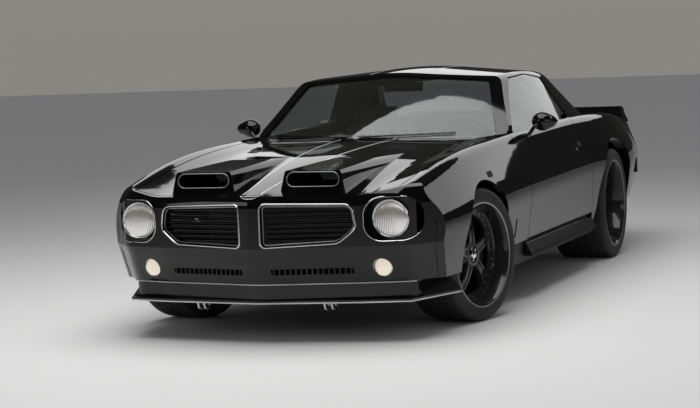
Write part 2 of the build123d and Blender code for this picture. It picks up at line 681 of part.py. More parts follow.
lamp_x, lamp_z = HEADLAMP
lens_y = LAMP_Y - LENS_DEPTH
bucket = lamp_cut & block((0, LAMP_Y, 0), (FAR_X, LAMP_Y + LAMP_DEPTH, 1000)) & end_prism(NOSE_PLAN)
lens = rod((lamp_x, lens_y, lamp_z), (lamp_x, LAMP_Y, lamp_z), HEADLAMP_R)
lens = lens & Solid.make_sphere(LENS_BOW_R).moved(Location((lamp_x, lens_y + LENS_BOW_R, lamp_z)))
head_lamp = main_solid(bucket.fuse(lens))
add("front_lamps", Compound([head_lamp, other_side(head_lamp), fog, other_side(fog)]))

dam_foot = SPLITTER_Z + SPLITTER_THICK
splitter = plan_prism(mirrored_outline(SPLITTER_PLAN), SPLITTER_Z, dam_foot)
dam = block((-DAM_HALF, -FAR_Y, dam_foot), (DAM_HALF, NOSE_SEAM_Y, VALANCE_FOOT_Z))
dam = (dam & end_prism(NOSE_PLAN, DAM_BACK)) - end_prism(NOSE_PLAN, DAM_BACK + DAM_WALL)
edge_start, edge_end = (Vector(*p, dam_foot) for p in SPLITTER_PLAN[2:4])
edge = edge_end - edge_start
inward = Vector(-edge.Y, edge.X, 0).normalized()
rise = Vector(0, 0, FENDER_FOOT_Z - dam_foot)
spat_section = [edge_start, edge_start + inward * SPAT_WIDE, edge_start + inward * SPAT_WIDE + rise,
                edge_start + inward * (SPAT_WIDE - SPAT_TOP) + rise]
spat = Solid.extrude(Face(closed_wire(spat_section)), edge)
spat = spat & block((0, NOSE_SEAM_Y, 0), (FAR_X, SPLITTER_PLAN[3][1], FENDER_FOOT_Z))
add("air_dam", main_solid(splitter.fuse(dam, spat, other_side(spat))))


# Wheels and brakes

def wheel_places(wheel):
    """Where a wheel's lip, spoke face, mounting face and brake disc stand on the car's left."""
    lip_x = wheel["middle_x"] + wheel["half_width"] - LIP_SET
    face_x = lip_x - wheel["dish"]
    mount_x = face_x - SPOKE_THICK - 10
    return lip_x, face_x, mount_x, mount_x - DISC_SET


def make_tyre(wheel, axle_y):
    """A wide, low, hollow tyre whose beads sit inside the rim's lips."""
    r, lip = wheel["radius"], wheel["lip_r"]
    bead = lip - LIP_TALL + BEAD_FIT
    seat = LIP_SET + LIP_THICK
    outer = [(seat, bead), (seat, lip), (0, lip + 16), (8, r - 14), (34, r)]
    inner = [(36, r - TREAD), (18, r - TREAD - 12), (14, lip + 14), (seat + 16, lip), (seat + 16, bead)]
    low, high = wheel["middle_x"] - wheel["half_width"], wheel["middle_x"] + wheel["half_width"]
    profile = [(low + x, y) for x, y in outer] + [(high - x, y) for x, y in reversed(outer)]
    profile += [(high - x, y) for x, y in reversed(inner)] + [(low + x, y) for x, y in inner]
    return turned(profile, r, axle_y)


def make_rim(wheel, axle_y):
    """A dished wheel: barrel with two lips, five spokes that bend back to it, and a hub plate."""
    lip_x, face_x, mount_x, disc_x = wheel_places(wheel)
    inner_x = wheel["middle_x"] - wheel["half_width"] + LIP_SET
    r, z = wheel["lip_r"], wheel["radius"]
    seat = r - LIP_TALL
    bore = seat - BARREL_WALL
    barrel = turned([(inner_x, bore), (inner_x, r), (inner_x + LIP_THICK, r), (inner_x + LIP_THICK, seat),
                     (lip_x - LIP_THICK, seat), (lip_x - LIP_THICK, r), (lip_x, r), (lip_x, r - 8),
                     (lip_x - 12, bore)], z, axle_y)
    hub = rod((mount_x, axle_y, z), (face_x + 8, axle_y, z), CENTRE_R_RIM)
    end = bore + BARREL_WALL / 2
    half = SPOKE_OUTLINE + [(SPOKE_END_HALF, end)]
    outline = half + [(-a, b) for a, b in reversed(half)]
    front = prism([(inner_x, axle_y + a, z + b) for a, b in outline], (lip_x - inner_x, 0, 0))
    bend = end * 0.55
    profile = [(face_x - SPOKE_THICK, 0), (face_x, 0), (face_x, bend), (face_x - SPOKE_FALL, end),
               (face_x - SPOKE_FALL - SPOKE_THICK, end), (face_x - SPOKE_THICK, bend)]
    side = prism([(x, axle_y - r, z + b) for x, b in profile], (0, 2 * r, 0))
    spoke = main_solid(front & side)
    axis = Axis((0, axle_y, z), (1, 0, 0))
    return barrel.fuse(hub, *[spoke.rotate(axis, 360 / SPOKES * i) for i in range(SPOKES)])


def make_disc(wheel, axle_y):
    """A brake disc with its hub, bored for the spindle."""
    lip_x, face_x, mount_x, disc_x = wheel_places(wheel)
    z = wheel["radius"]
    hub = rod((disc_x, axle_y, z), (mount_x, axle_y, z), HUB_R)
    disc = rod((disc_x, axle_y, z), (disc_x + DISC_THICK, axle_y, z), DISC_R)
    return hub.fuse(disc) - rod((disc_x - 1, axle_y, z), (mount_x - 8, axle_y, z), SPINDLE_R + PIN_FIT)


def make_carrier(wheel, axle_y):
    """The spindle that a wheel turns on, with its brake caliper."""
    lip_x, face_x, mount_x, disc_x = wheel_places(wheel)
    z = wheel["radius"]
    spindle = rod((disc_x - 30, axle_y, z), (mount_x - 14, axle_y, z), SPINDLE_R)
    caliper = block((disc_x - 24, axle_y + 118, z - 62), (disc_x + DISC_THICK + 24, axle_y + 212, z + 62))
    caliper = caliper - rod((disc_x - 6, axle_y, z), (disc_x + DISC_THICK + 6, axle_y, z), DISC_R + CALIPER_GAP)
    bracket = block((disc_x - 36, axle_y - 30, z - 34), (disc_x - CALIPER_GAP, axle_y + 150, z + 34))
    return spindle.fuse(caliper, bracket)


front_z = FRONT_WHEEL["radius"]
rear_z = REAR_WHEEL["radius"]
upright = block((KINGPIN_X - 34, FRONT_AXLE_Y - 30, front_z - 120), (KINGPIN_X + 16, FRONT_AXLE_Y + 30, front_z + 120))
stud = rod((KINGPIN_X, FRONT_AXLE_Y, front_z - STUD_HALF), (KINGPIN_X, FRONT_AXLE_Y, front_z + STUD_HALF), STUD_R)
knuckle = make_carrier(FRONT_WHEEL, FRONT_AXLE_Y).fuse(upright, stud)
wheel_makers = (("tyre", make_tyre), ("rim", make_rim), ("disc", make_disc))
steered = [("knuckle", knuckle)] + [(f"{name}_front", make(FRONT_WHEEL, FRONT_AXLE_Y)) for name, make in wheel_makers]
for name, piece in steered:
    for side, shape, x in (("left", piece, KINGPIN_X), ("right", other_side(piece), -KINGPIN_X)):
        add(f"{name}_{side}", shape.rotate(Axis((x, FRONT_AXLE_Y, 0), (0, 0, 1)), -PHOTO_STEER))
for name, make in wheel_makers:
    add_pair(f"{name}_rear", make(REAR_WHEEL, REAR_AXLE_Y))

# Axle, subframe and control arms

carrier = make_carrier(REAR_WHEEL, REAR_AXLE_Y)
tube_end = wheel_places(REAR_WHEEL)[3] - 10
tube = rod((-tube_end, REAR_AXLE_Y, rear_z), (tube_end, REAR_AXLE_Y, rear_z), 42)
differential = turned([(-125, 0), (-125, 44), (-70, 95), (70, 95), (125, 44), (125, 0)], rear_z, REAR_AXLE_Y)
pinion = rod((0, REAR_AXLE_Y - PINION_LENGTH, DRIVE_Z), (0, REAR_AXLE_Y, DRIVE_Z), 48)
spring = block((SPRING_X[0], HANGER_Y[0], SPRING_Z[0]), (SPRING_X[1], HANGER_Y[1] + HANGER_LENGTH, SPRING_Z[1]))
pad = block((SPRING_X[0] - 5, REAR_AXLE_Y - 60, SPRING_Z[1]), (SPRING_X[1] + 5, REAR_AXLE_Y + 60, rear_z))
axle_side = carrier.fuse(spring, pad)
add("rear_axle", main_solid(tube.fuse(differential, pinion, axle_side, other_side(axle_side))))

rail_low, rail_high = RAIL_Z
tower_y = (FRONT_AXLE_Y - 110, FRONT_AXLE_Y + 110)
subframe = blocks([
    ((RAIL_IN_X, SUBFRAME_FRONT_Y, rail_low), (RAIL_OUT_X, FIREWALL_Y - SHEET, rail_high)),
    ((RAIL_IN_X, tower_y[0], rail_high), (RAIL_OUT_X, tower_y[1], front_z + STUD_HALF)),
    ((0, tower_y[0], 186), (RAIL_OUT_X, tower_y[1], rail_low)),
    ((0, SUBFRAME_FRONT_Y, rail_low), (RAIL_OUT_X, SUBFRAME_FRONT_Y + 60, rail_high)),
])
add("front_subframe", whole(subframe))


def control_arm(low):
    """A wishbone from the subframe to the eye round the knuckle's stud."""
    plate = plan_prism([(RAIL_OUT_X, FRONT_AXLE_Y - 105), (KINGPIN_X - 12, FRONT_AXLE_Y - 18),
                        (KINGPIN_X - 12, FRONT_AXLE_Y + 18), (RAIL_OUT_X, FRONT_AXLE_Y + 105)], low, low + ARM_THICK)
    eye = rod((KINGPIN_X, FRONT_AXLE_Y, low), (KINGPIN_X, FRONT_AXLE_Y, low + ARM_THICK), ARM_EYE_R)
    return plate.fuse(eye) - rod((KINGPIN_X, FRONT_AXLE_Y, 0), (KINGPIN_X, FRONT_AXLE_Y, FAR_Z), STUD_R + PIN_FIT)


arms = [control_arm(front_z + offset) for offset in ARM_SETS]
add("control_arms", Compound(arms + [other_side(a) for a in arms]))

# Engine, driveline, tank and exhaust

engine = blocks([
    ((0, -1700, 262), (230, -800, 560)),
    ((0, -1600, 560), (165, -900, 690)),
    ((0, -800, 232), (95, GEARBOX_END_Y, 350)),
    ((230, -1320, 282), (RAIL_IN_X, -1250, 326)),
])
head = front_prism([(100, 480), (330, 560), (300, 660), (110, 640)], -1650, -850)
cleaner = rod((0, -1320, 690), (0, -1320, 760), 165)
add("engine", main_solid(whole(engine.fuse(head)).fuse(cleaner)))
add("driveshaft", rod((0, GEARBOX_END_Y, DRIVE_Z), (0, REAR_AXLE_Y - PINION_LENGTH, DRIVE_Z), 38))
add("radiator", block((-370, SUBFRAME_FRONT_Y + 60, rail_low), (370, SUBFRAME_FRONT_Y + 125, 690)))
add("fuel_tank", block((-400, 1620, 212), (400, 2140, BOOT_LOW_Z)))
tip_start = TIP_END_Y - TIP_LENGTH
pipe = bent_bar([(300, -1150, 470), (330, -1020, 300), (PIPE_X, -880, PIPE_Z), (PIPE_X, tip_start, PIPE_Z)], PIPE_R)
tip = rod((PIPE_X, tip_start, PIPE_Z), (PIPE_X, TIP_END_Y, PIPE_Z), TIP_R)
muffler = block((PIPE_X - 80, 250, 118), (PIPE_X + 80, 700, SILL_Z))
add("exhaust", both_sides(main_solid(pipe.fuse(tip, muffler))))

# Floor with its sills, firewall with the doors' hinge posts, and boot

sill = block((SILL_IN_X, FIREWALL_Y, SILL_Z), (SILL_OUT_X, DOOR_REAR_FOOT_Y + SHUT_GAP, DOOR_FOOT_Z - SHUT_GAP)) & raw
hangers = [((SPRING_X[0] - 5, y, SPRING_Z[1]), (SPRING_X[1] + 5, y + HANGER_LENGTH, SEAT_PAN_Z)) for y in HANGER_Y]
floor_pan = blocks([
    ((TUNNEL_HALF, FIREWALL_Y, SILL_Z), (SILL_IN_X, REAR_STEP_Y, FLOOR_Z)),
    ((0, FIREWALL_Y, TUNNEL_Z), (TUNNEL_HALF + SHEET, BULKHEAD_Y, TUNNEL_Z + SHEET)),
    ((TUNNEL_HALF, FIREWALL_Y, SILL_Z), (TUNNEL_HALF + SHEET, BULKHEAD_Y, TUNNEL_Z)),
    ((TUNNEL_HALF, REAR_STEP_Y, SILL_Z), (DOOR_INNER_X, REAR_STEP_Y + SHEET, SEAT_PAN_Z + SHEET)),
    ((TUNNEL_HALF, REAR_STEP_Y, SEAT_PAN_Z), (BOOT_HALF, BULKHEAD_Y, SEAT_PAN_Z + SHEET)),
    hangers[0],
])
add("floor_pan", whole(floor_pan.fuse(sill)))

shelf_z, upper_y = 680.0, COWL_REAR_Y - 22
firewall = blocks([
    ((0, FIREWALL_Y - SHEET, TUNNEL_Z + SHEET), (SILL_IN_X, FIREWALL_Y, shelf_z + SHEET)),
    ((TUNNEL_HALF + SHEET, FIREWALL_Y - SHEET, SILL_Z), (SILL_IN_X, FIREWALL_Y, TUNNEL_Z + SHEET)),
    ((0, FIREWALL_Y, shelf_z), (BONNET_HALF_FRONT, upper_y, shelf_z + SHEET)),
    ((SILL_IN_X, POST_FRONT_Y, SILL_Z), (722, FIREWALL_Y, 800)),
])
firewall = firewall.fuse(block((0, upper_y - SHEET, shelf_z), (BONNET_HALF_FRONT, upper_y, 1000)) & inside)
firewall = firewall.fuse(block((SILL_IN_X, POST_FRONT_Y, SILL_Z), (SILL_OUT_X, FIREWALL_Y, DOOR_FOOT_Z - SHUT_GAP)) & raw)
for z in DOOR_PIN_Z:
    half = EYE_LENGTH / 2 + EYE_GAP
    firewall = firewall.fuse(rod((pin_x, pin_y, z - half - CHEEK), (pin_x, pin_y, z + half + CHEEK), PIN_R))
    for low in (z - half - CHEEK, z + half):
        cheek = block((700, pin_y - EYE_R, low), (pin_x + EYE_R, pin_y + EYE_R, low + CHEEK))
        firewall = firewall.fuse(cheek)
add("firewall", whole(firewall))

boot_in = BOOT_HALF - SHEET
boot_tub = blocks([
    ((0, BULKHEAD_Y, TUNNEL_Z), (BOOT_HALF, BULKHEAD_Y + SHEET, 800)),
    ((TUNNEL_HALF, BULKHEAD_Y, SEAT_PAN_Z), (BOOT_HALF, BULKHEAD_Y + SHEET, TUNNEL_Z)),
    ((0, BULKHEAD_Y, BOOT_HIGH_Z), (BOOT_HALF, BOOT_STEP_Y, BOOT_HIGH_Z + SHEET)),
    ((0, BOOT_STEP_Y, BOOT_LOW_Z), (BOOT_HALF, BOOT_STEP_Y + SHEET, BOOT_HIGH_Z + SHEET)),
    ((0, BOOT_STEP_Y, BOOT_LOW_Z), (BOOT_HALF, BOOT_END_Y, BOOT_LOW_Z + SHEET)),
    ((boot_in, BULKHEAD_Y, BOOT_HIGH_Z), (BOOT_HALF, BOOT_STEP_Y, 800)),
    ((boot_in, BOOT_STEP_Y, BOOT_LOW_Z), (BOOT_HALF, BOOT_END_Y, 800)),
    ((0, BOOT_END_Y, BOOT_LOW_Z), (BOOT_HALF, BOOT_END_Y + SHEET, 560)),
    hangers[1],
])
add("boot_tub", whole(boot_tub))

skirt = front_prism([(SILL_OUT_X, 316), (SILL_OUT_X, 236), (912, 236), (906, 256), (876, 316)],
                    FIREWALL_Y + 10, DOOR_REAR_FOOT_Y + SHUT_GAP)
add("side_skirts", both_sides(main_solid(skirt - raw)))

# Seats, dashboard and steering wheel

half = SEAT_HALF
cushion = side_prism([(-40, 320), (-40, 430), (500, 400), (500, 320)], SEAT_X - half, SEAT_X + half, [20, 50, 30, 20])
back = side_prism([(430, 340), (560, 900), (650, 890), (560, 340)], SEAT_X - half + 15, SEAT_X + half - 15,
                  [30, 40, 40, 30])
rest = side_prism([(560, 860), (575, 1010), (640, 1010), (650, 860)], SEAT_X - 110, SEAT_X + 110, [10, 25, 25, 10])
pedestal = block((SEAT_X - half + 60, 60, FLOOR_Z), (SEAT_X + half - 60, 420, SEAT_PAN_Z))
add("front_seats", both_sides(main_solid(cushion.fuse(back, rest, pedestal))))
pan_top = SEAT_PAN_Z + SHEET
bench = side_prism([(REAR_STEP_Y + 10, pan_top), (REAR_STEP_Y + 10, 440), (1080, 400), (1130, 790),
                    (BULKHEAD_Y, 790), (BULKHEAD_Y, pan_top)], 0, BENCH_HALF, [15, 40, 20, 30, 5, 5])
bench = bench - block((0, 0, 0), (TUNNEL_HALF + SHEET, FAR_Y, TUNNEL_Z + SHEET))
add("rear_seat", whole(bench))

dash = side_prism([(upper_y, 640), (upper_y, 842), (-330, 842), (-270, 780), (-330, 640)], -690, 690,
                  [1, 1, 50, 50, 40])
tilt = math.radians(STEERING_TILT)
wheel_dir = Vector(0, math.cos(tilt), math.sin(tilt))
hub_point = Vector(*STEERING_CENTRE)
wheel_plane = Plane(hub_point, x_dir=(1, 0, 0), z_dir=wheel_dir)
column = rod(hub_point - wheel_dir * 330, hub_point - wheel_dir * 40, 30)
column_pin = rod(hub_point - wheel_dir * 60, hub_point + wheel_dir * 10, STEERING_PIN_R)
add("dashboard", main_solid(dash.fuse(column, column_pin)))
grip = Solid.make_torus(STEERING_R, STEERING_GRIP_R, wheel_plane)
hub = rod(hub_point - wheel_dir * 34, hub_point + wheel_dir * 26, 38)
spoke = block((-STEERING_R, -17, -4), (STEERING_R, 17, 4)).moved(Location(wheel_plane))
bore = rod(hub_point - wheel_dir * 80, hub_point + wheel_dir * 12, STEERING_PIN_R + PIN_FIT)
add("steering_wheel", main_solid(grip.fuse(hub, spoke) - bore))

os.makedirs("parts", exist_ok=True)
for name, shape in PARTS.items():
    export_step(shape, f"parts/{name}.step")
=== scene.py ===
import json
import math

import bmesh
import bpy
import numpy as np
from mathutils import Matrix, Vector
from mathutils.bvhtree import BVHTree


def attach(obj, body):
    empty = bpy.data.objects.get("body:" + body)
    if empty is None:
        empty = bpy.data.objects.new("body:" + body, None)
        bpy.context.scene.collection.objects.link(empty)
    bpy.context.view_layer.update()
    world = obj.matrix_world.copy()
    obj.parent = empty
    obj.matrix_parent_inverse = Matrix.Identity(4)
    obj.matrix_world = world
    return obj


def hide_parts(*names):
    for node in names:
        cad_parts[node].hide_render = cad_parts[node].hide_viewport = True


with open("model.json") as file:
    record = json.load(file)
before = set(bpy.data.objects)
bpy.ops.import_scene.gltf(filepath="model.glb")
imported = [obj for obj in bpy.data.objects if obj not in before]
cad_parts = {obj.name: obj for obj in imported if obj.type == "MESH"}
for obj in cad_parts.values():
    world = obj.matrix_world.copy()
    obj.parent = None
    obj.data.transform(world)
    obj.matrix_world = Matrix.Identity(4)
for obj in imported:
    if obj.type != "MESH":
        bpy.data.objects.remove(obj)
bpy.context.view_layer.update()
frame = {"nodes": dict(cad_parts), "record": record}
nodes = frame["nodes"]
scene = bpy.context.scene
scene.view_settings.view_transform = "Standard"

# The car's front looks along -Y and its left side along +X.
SIDES = (("left", 1), ("right", -1))
REARWARD, FRONTWARD, DOWN = (0, 1, 0), (0, -1, 0), (0, 0, -1)
INWARD, OUTWARD = (-1, 0, 0), (1, 0, 0)
SKEW = Vector((0.31, 0.27, 0.91))  # no bar of the car runs along it
TURN = 2 * math.pi


# Materials

COLOUR_DRIFT = 6.0
DRIFT_STOPS = (0.35, 0.65)
LAMP_LIGHT = (1.0, 0.90, 0.74, 1)


def new_material(name):
    """A material with its node tree and its shader."""
    mat = bpy.data.materials.new(name)
    mat.use_nodes = True
    return mat, mat.node_tree, mat.node_tree.nodes["Principled BSDF"]


def set_inputs(node, values):
    """Values for a node's inputs, by their names."""
    for name, value in values.items():
        node.inputs[name].default_value = value


def texture(tree, kind, values):
    """A texture laid out in object space."""
    coord = tree.nodes.new("ShaderNodeTexCoord")
    node = tree.nodes.new(kind)
    set_inputs(node, values)
    tree.links.new(coord.outputs["Object"], node.inputs["Vector"])
    return node


def bumped(tree, shader, height, strength, distance=0.001):
    """A bump on a shader from a height."""
    bump = tree.nodes.new("ShaderNodeBump")
    set_inputs(bump, {"Strength": strength, "Distance": distance})
    tree.links.new(height, bump.inputs["Height"])
    tree.links.new(bump.outputs["Normal"], shader.inputs["Normal"])


def grained(tree, shader, grain, strength):
    """A fine bump from noise."""
    noise = texture(tree, "ShaderNodeTexNoise", {"Scale": grain, "Detail": 4.0})
    bumped(tree, shader, noise.outputs["Fac"], strength)


def colour_ramp(tree, amount, stops):
    """A colour that runs between two (position, colour) stops."""
    ramp = tree.nodes.new("ShaderNodeValToRGB")
    for element, (position, colour) in zip(ramp.color_ramp.elements, stops):
        element.position = position
        element.color = (*colour, 1)
    tree.links.new(amount, ramp.inputs["Fac"])
    return ramp.outputs["Color"]


def drifting(tree, shader, low, high):
    """A base colour that drifts between two colours."""
    noise = texture(tree, "ShaderNodeTexNoise", {"Scale": COLOUR_DRIFT})
    colour = colour_ramp(tree, noise.outputs["Fac"], zip(DRIFT_STOPS, (low, high)))
    tree.links.new(colour, shader.inputs["Base Color"])


def gloss(shader, roughness, metallic=0.0, coat=0.0):
    """How a surface shines; a coat takes over the shine of what lies under it."""
    set_inputs(shader, {"Roughness": roughness, "Metallic": metallic, "Coat Weight": coat,
                        "Coat Roughness": 0.03, "Specular IOR Level": 0.5 * (1 - coat)})


def surface(name, low, high, roughness, grain, bump, metallic=0.0, coat=0.0):
    """A surface with a drifting colour and a fine bump."""
    mat, tree, shader = new_material(name)
    gloss(shader, roughness, metallic, coat)
    grained(tree, shader, grain, bump)
    drifting(tree, shader, low, high)
    return mat


def glass(name, colour):
    """Tinted glass."""
    mat, _, shader = new_material(name)
    set_inputs(shader, {"Base Color": (*colour, 1), "Roughness": 0.02,
                        "Transmission Weight": 1.0, "IOR": 1.45})
    return mat


def fluted(name, low, high, metallic, glow):
    """Lamp glass with upright flutes that is bright from within."""
    mat, tree, shader = new_material(name)
    gloss(shader, 0.12, metallic, coat=1.0)
    drifting(tree, shader, low, high)
    wave = texture(tree, "ShaderNodeTexWave", {"Scale": 34.0})
    bumped(tree, shader, wave.outputs["Fac"], 0.55, 0.004)
    set_inputs(shader, {"Emission Color": LAMP_LIGHT, "Emission Strength": glow})
    return mat


def perforated(name):
    """Bright sheet with rows of small holes, painted near-black as the shade seen through them."""
    mat, tree, shader = new_material(name)
    gloss(shader, 0.35)
    grained(tree, shader, 300.0, 0.05)
    cells = texture(tree, "ShaderNodeTexVoronoi", {"Scale": 140.0, "Randomness": 0.0})
    # The holes are painted shade: near-black spots where the sheet would show the dark behind it.
    hole_shade, sheet = (0.01, 0.01, 0.01), (0.55, 0.55, 0.56)
    colour = colour_ramp(tree, cells.outputs["Distance"], ((0.30, hole_shade), (0.38, sheet)))
    tree.links.new(colour, shader.inputs["Base Color"])
    return mat


PAINT = surface("paint_black", (0.0016, 0.0016, 0.0018), (0.0026, 0.0026, 0.003), 0.28,
                grain=900, bump=0.002, coat=1.0)
TRIM = surface("trim_gloss", (0.003, 0.003, 0.003), (0.006, 0.006, 0.006), 0.30,
               grain=1500, bump=0.01, coat=0.8)
CHASSIS = surface("chassis_black", (0.015, 0.015, 0.015), (0.03, 0.029, 0.028), 0.6,
                  grain=500, bump=0.1)
IRON = surface("cast_iron", (0.04, 0.04, 0.042), (0.08, 0.078, 0.076), 0.55,
               grain=400, bump=0.2, metallic=0.6)
STEEL = surface("steel_dull", (0.28, 0.28, 0.29), (0.42, 0.42, 0.42), 0.35,
                grain=700, bump=0.05, metallic=1.0)
ALLOY = surface("alloy_black", (0.012, 0.012, 0.013), (0.02, 0.02, 0.022), 0.25,
                grain=800, bump=0.01, coat=0.6)
RUBBER = surface("tyre_rubber", (0.012, 0.012, 0.012), (0.022, 0.022, 0.022), 0.7,
                 grain=700, bump=0.15)
LEATHER = surface("leather_black", (0.012, 0.012, 0.012), (0.022, 0.021, 0.02), 0.5,
                  grain=450, bump=0.25)
PLASTIC = surface("plastic_grain", (0.014, 0.014, 0.015), (0.024, 0.024, 0.025), 0.55,
                  grain=1200, bump=0.2)
RED = surface("lamp_red", (0.18, 0.004, 0.004), (0.28, 0.008, 0.006), 0.15,
              grain=200, bump=0.05, coat=0.8)
BRIGHT = surface("bright_metal", (0.62, 0.62, 0.63), (0.74, 0.74, 0.75), 0.16,
                 grain=900, bump=0.01, metallic=1.0)
SILVER = surface("stripe_silver", (0.56, 0.56, 0.57), (0.68, 0.68, 0.69), 0.35,
                 grain=900, bump=0.01, coat=0.4)
CHROME = surface("chrome", (0.70, 0.70, 0.71), (0.80, 0.80, 0.81), 0.08,
                 grain=600, bump=0.005, metallic=1.0)
BUCKET = surface("lamp_bucket", (0.006, 0.006, 0.006), (0.012, 0.012, 0.012), 0.3,
                 grain=900, bump=0.02, coat=0.6)
# Flat near-black, darker than a real black finish: painted shade on the grille's blades in their
# recess, in the fender vents' slits and in the exhaust pipes' mouths, where there is real soot as
# well.
PAINTED_SHADE = surface("painted_shade_black", (0.004, 0.004, 0.004), (0.009, 0.008, 0.008), 0.85,
               grain=500, bump=0.2)
WINDOW = glass("glass_tint", (0.55, 0.58, 0.58))
FLUTED = fluted("lens_fluted", (0.66, 0.68, 0.70), (0.78, 0.79, 0.80), 0.9, 0.12)
GLOW = fluted("lens_lit", (0.30, 0.28, 0.24), (0.36, 0.34, 0.30), 0.0, 0.66)
PERFORATED = perforated("vent_sheet")

SLOT_MATERIAL = {
    "body_paint": PAINT, "lower_trim": TRIM, "grille": TRIM, "glass": WINDOW, "lamp": BUCKET,
    "tail_lamp": RED, "chassis": CHASSIS, "engine": IRON, "exhaust": STEEL, "brake": STEEL,
    "alloy": ALLOY, "tyre": RUBBER, "seat": LEATHER, "interior": PLASTIC,
}


def colour_nodes():
    """Every node of the car gets the material of its slot."""
    for part in frame["record"]["subparts"]:
        mesh = nodes[part["node"]].data
        mesh.materials.clear()
        mesh.materials.append(SLOT_MATERIAL[part["material_slot"]])


# Mesh tools: a shape is a pair of points and faces

def add_mesh(name, verts, faces, material, body, slot_name, sharp=35.0):
    """A piece that rides on a body, shaded smooth except over edges sharper than an angle."""
    mesh = bpy.data.meshes.new(name)
    mesh.from_pydata([tuple(v) for v in verts], [], faces)
    mesh.validate()
    made = bmesh.new()
    made.from_mesh(mesh)
    bmesh.ops.recalc_face_normals(made, faces=made.faces)
    made.to_mesh(mesh)
    made.free()
    mesh.shade_smooth()
    mesh.set_sharp_from_angle(angle=math.radians(sharp))
    mesh.materials.append(material)
    obj = bpy.data.objects.new(name, mesh)
    scene.collection.objects.link(obj)
    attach(obj, body)
    return obj


def span(low, high, count):
    """Evenly spaced values with both ends."""
    return [low + (high - low) * i / (count - 1) for i in range(count)]


def merge(*shapes):
    """Several shapes as one."""
    verts, faces = [], []
    for v, f in shapes:
        start = len(verts)
        verts += list(v)
        faces += [tuple(i + start for i in face) for face in f]
    return verts, faces


def moved(shape, matrix):
    """A shape carried by a matrix."""
    verts, faces = shape
    return [matrix @ Vector(v) for v in verts], faces


def mirrored(shape):
    """The same shape on the car's other side."""
    verts, faces = shape
    return [(-v[0], v[1], v[2]) for v in verts], [tuple(reversed(f)) for f in faces]


def pair(shape):
    """A shape and its twin on the other side as one."""
    return merge(shape, mirrored(shape))


def lathe(profile, steps, closed=True, wave=None):
    """A ring turned about the X axis from (x, radius) points; wave shifts a point's radius."""
    verts, faces = [], []
    count = len(profile)
    for i in range(steps):
        turn = TURN * i / steps
        for j, (x, r) in enumerate(profile):
            reach = r + (wave(i, j) if wave else 0.0)
            verts.append((x, reach * math.sin(turn), reach * math.cos(turn)))
    last = count if closed else count - 1
    for i in range(steps):
        k = (i + 1) % steps
        for j in range(last):
            m = (j + 1) % count
            faces.append((i * count + j, i * count + m, k * count + m, k * count + j))
    return verts, faces


def sections(rings, caps=True):
    """A skin through rings of the same number of points."""
    verts = [p for ring in rings for p in ring]
    n = len(rings[0])
    faces = []
    for i in range(len(rings) - 1):
        for j in range(n):
            k = (j + 1) % n
            faces.append((i * n + j, i * n + k, (i + 1) * n + k, (i + 1) * n + j))
    if caps:
        faces.append(tuple(reversed(range(n))))
        faces.append(tuple(range((len(rings) - 1) * n, len(rings) * n)))
    return verts, faces


def box(low, high):
    """A block between two corners."""
    (x0, y0, z0), (x1, y1, z1) = low, high
    foot = [(x0, y0, z0), (x1, y0, z0), (x1, y1, z0), (x0, y1, z0)]
    return sections([foot, [(x, y, z1) for x, y, z in foot]])


def disc_ring(centre, normal, radius, n):
    """A ring of points about a centre."""
    normal = Vector(normal).normalized()
    up = Vector((0, 0, 1))
    a = up - normal * up.dot(normal)
    a.normalize()
    b = normal.cross(a)
    c = Vector(centre)
    return [c + radius * (a * math.cos(TURN * i / n) + b * math.sin(TURN * i / n))
            for i in range(n)]


def dome(centre, normal, radius, height, n, rows, base=0.002):
    """A round button that stands on a face, with its base sunk into it."""
    normal = Vector(normal).normalized()
    c = Vector(centre)
    rings = [disc_ring(c - normal * base, normal, radius, n)]
    for i in range(rows):
        a = math.pi / 2 * i / rows
        ring_centre = c + normal * height * math.sin(a)
        rings.append(disc_ring(ring_centre, normal, radius * math.cos(a), n))
    return sections(rings)


def tube(points, radius, closed=False, n=8):
    """A round bar along a path."""
    points = [Vector(p) for p in points]
    count = len(points)
    rings = []
    side = None
    for i, p in enumerate(points):
        ahead = points[(i + 1) % count] if closed or i < count - 1 else p
        behind = points[i - 1] if closed or i > 0 else p
        along = (ahead - behind).normalized()
        if side is None:
            side = along.cross(SKEW).normalized()
        side = (side - along * side.dot(along)).normalized()
        other = along.cross(side)
        rings.append([p + radius * (side * math.cos(TURN * j / n) + other * math.sin(TURN * j / n))
                      for j in range(n)])
    if closed:
        rings.append(rings[0])
    return sections(rings, caps=not closed)


# Flat outlines

CORNER_STEPS = 7


def rounded(points, radii):
    """A closed outline of flat points with rounded corners."""
    out = []
    count = len(points)
    for i, r in enumerate(radii):
        p, a, b = (Vector(points[k % count]) for k in (i, i - 1, i + 1))
        u, v = (a - p).normalized(), (b - p).normalized()
        half = u.angle(v) / 2
        length = r / math.tan(half)
        centre = p + (u + v).normalized() * (r / math.sin(half))
        start, end = p + u * length - centre, p + v * length - centre
        turn = start.angle_signed(end)
        for k in range(CORNER_STEPS + 1):
            c, s = math.cos(-turn * k / CORNER_STEPS), math.sin(-turn * k / CORNER_STEPS)
            out.append(centre + Vector((start.x * c - start.y * s, start.x * s + start.y * c)))
    return out


def rectangle(low, high, radius):
    """A closed flat rectangle with rounded corners."""
    (x0, z0), (x1, z1) = low, high
    return rounded([(x0, z0), (x1, z0), (x1, z1), (x0, z1)], [radius] * 4)


def grown(outline, by):
    """A closed outline moved outwards, or inwards where by is negative."""
    count = len(outline)
    middle = sum(outline, Vector((0, 0))) / count
    out = []
    for i, p in enumerate(outline):
        along = (outline[(i + 1) % count] - outline[i - 1]).normalized()
        normal = Vector((along.y, -along.x))
        if normal.dot(p - middle) < 0:
            normal = -normal
        out.append(p + normal * by)
    return out


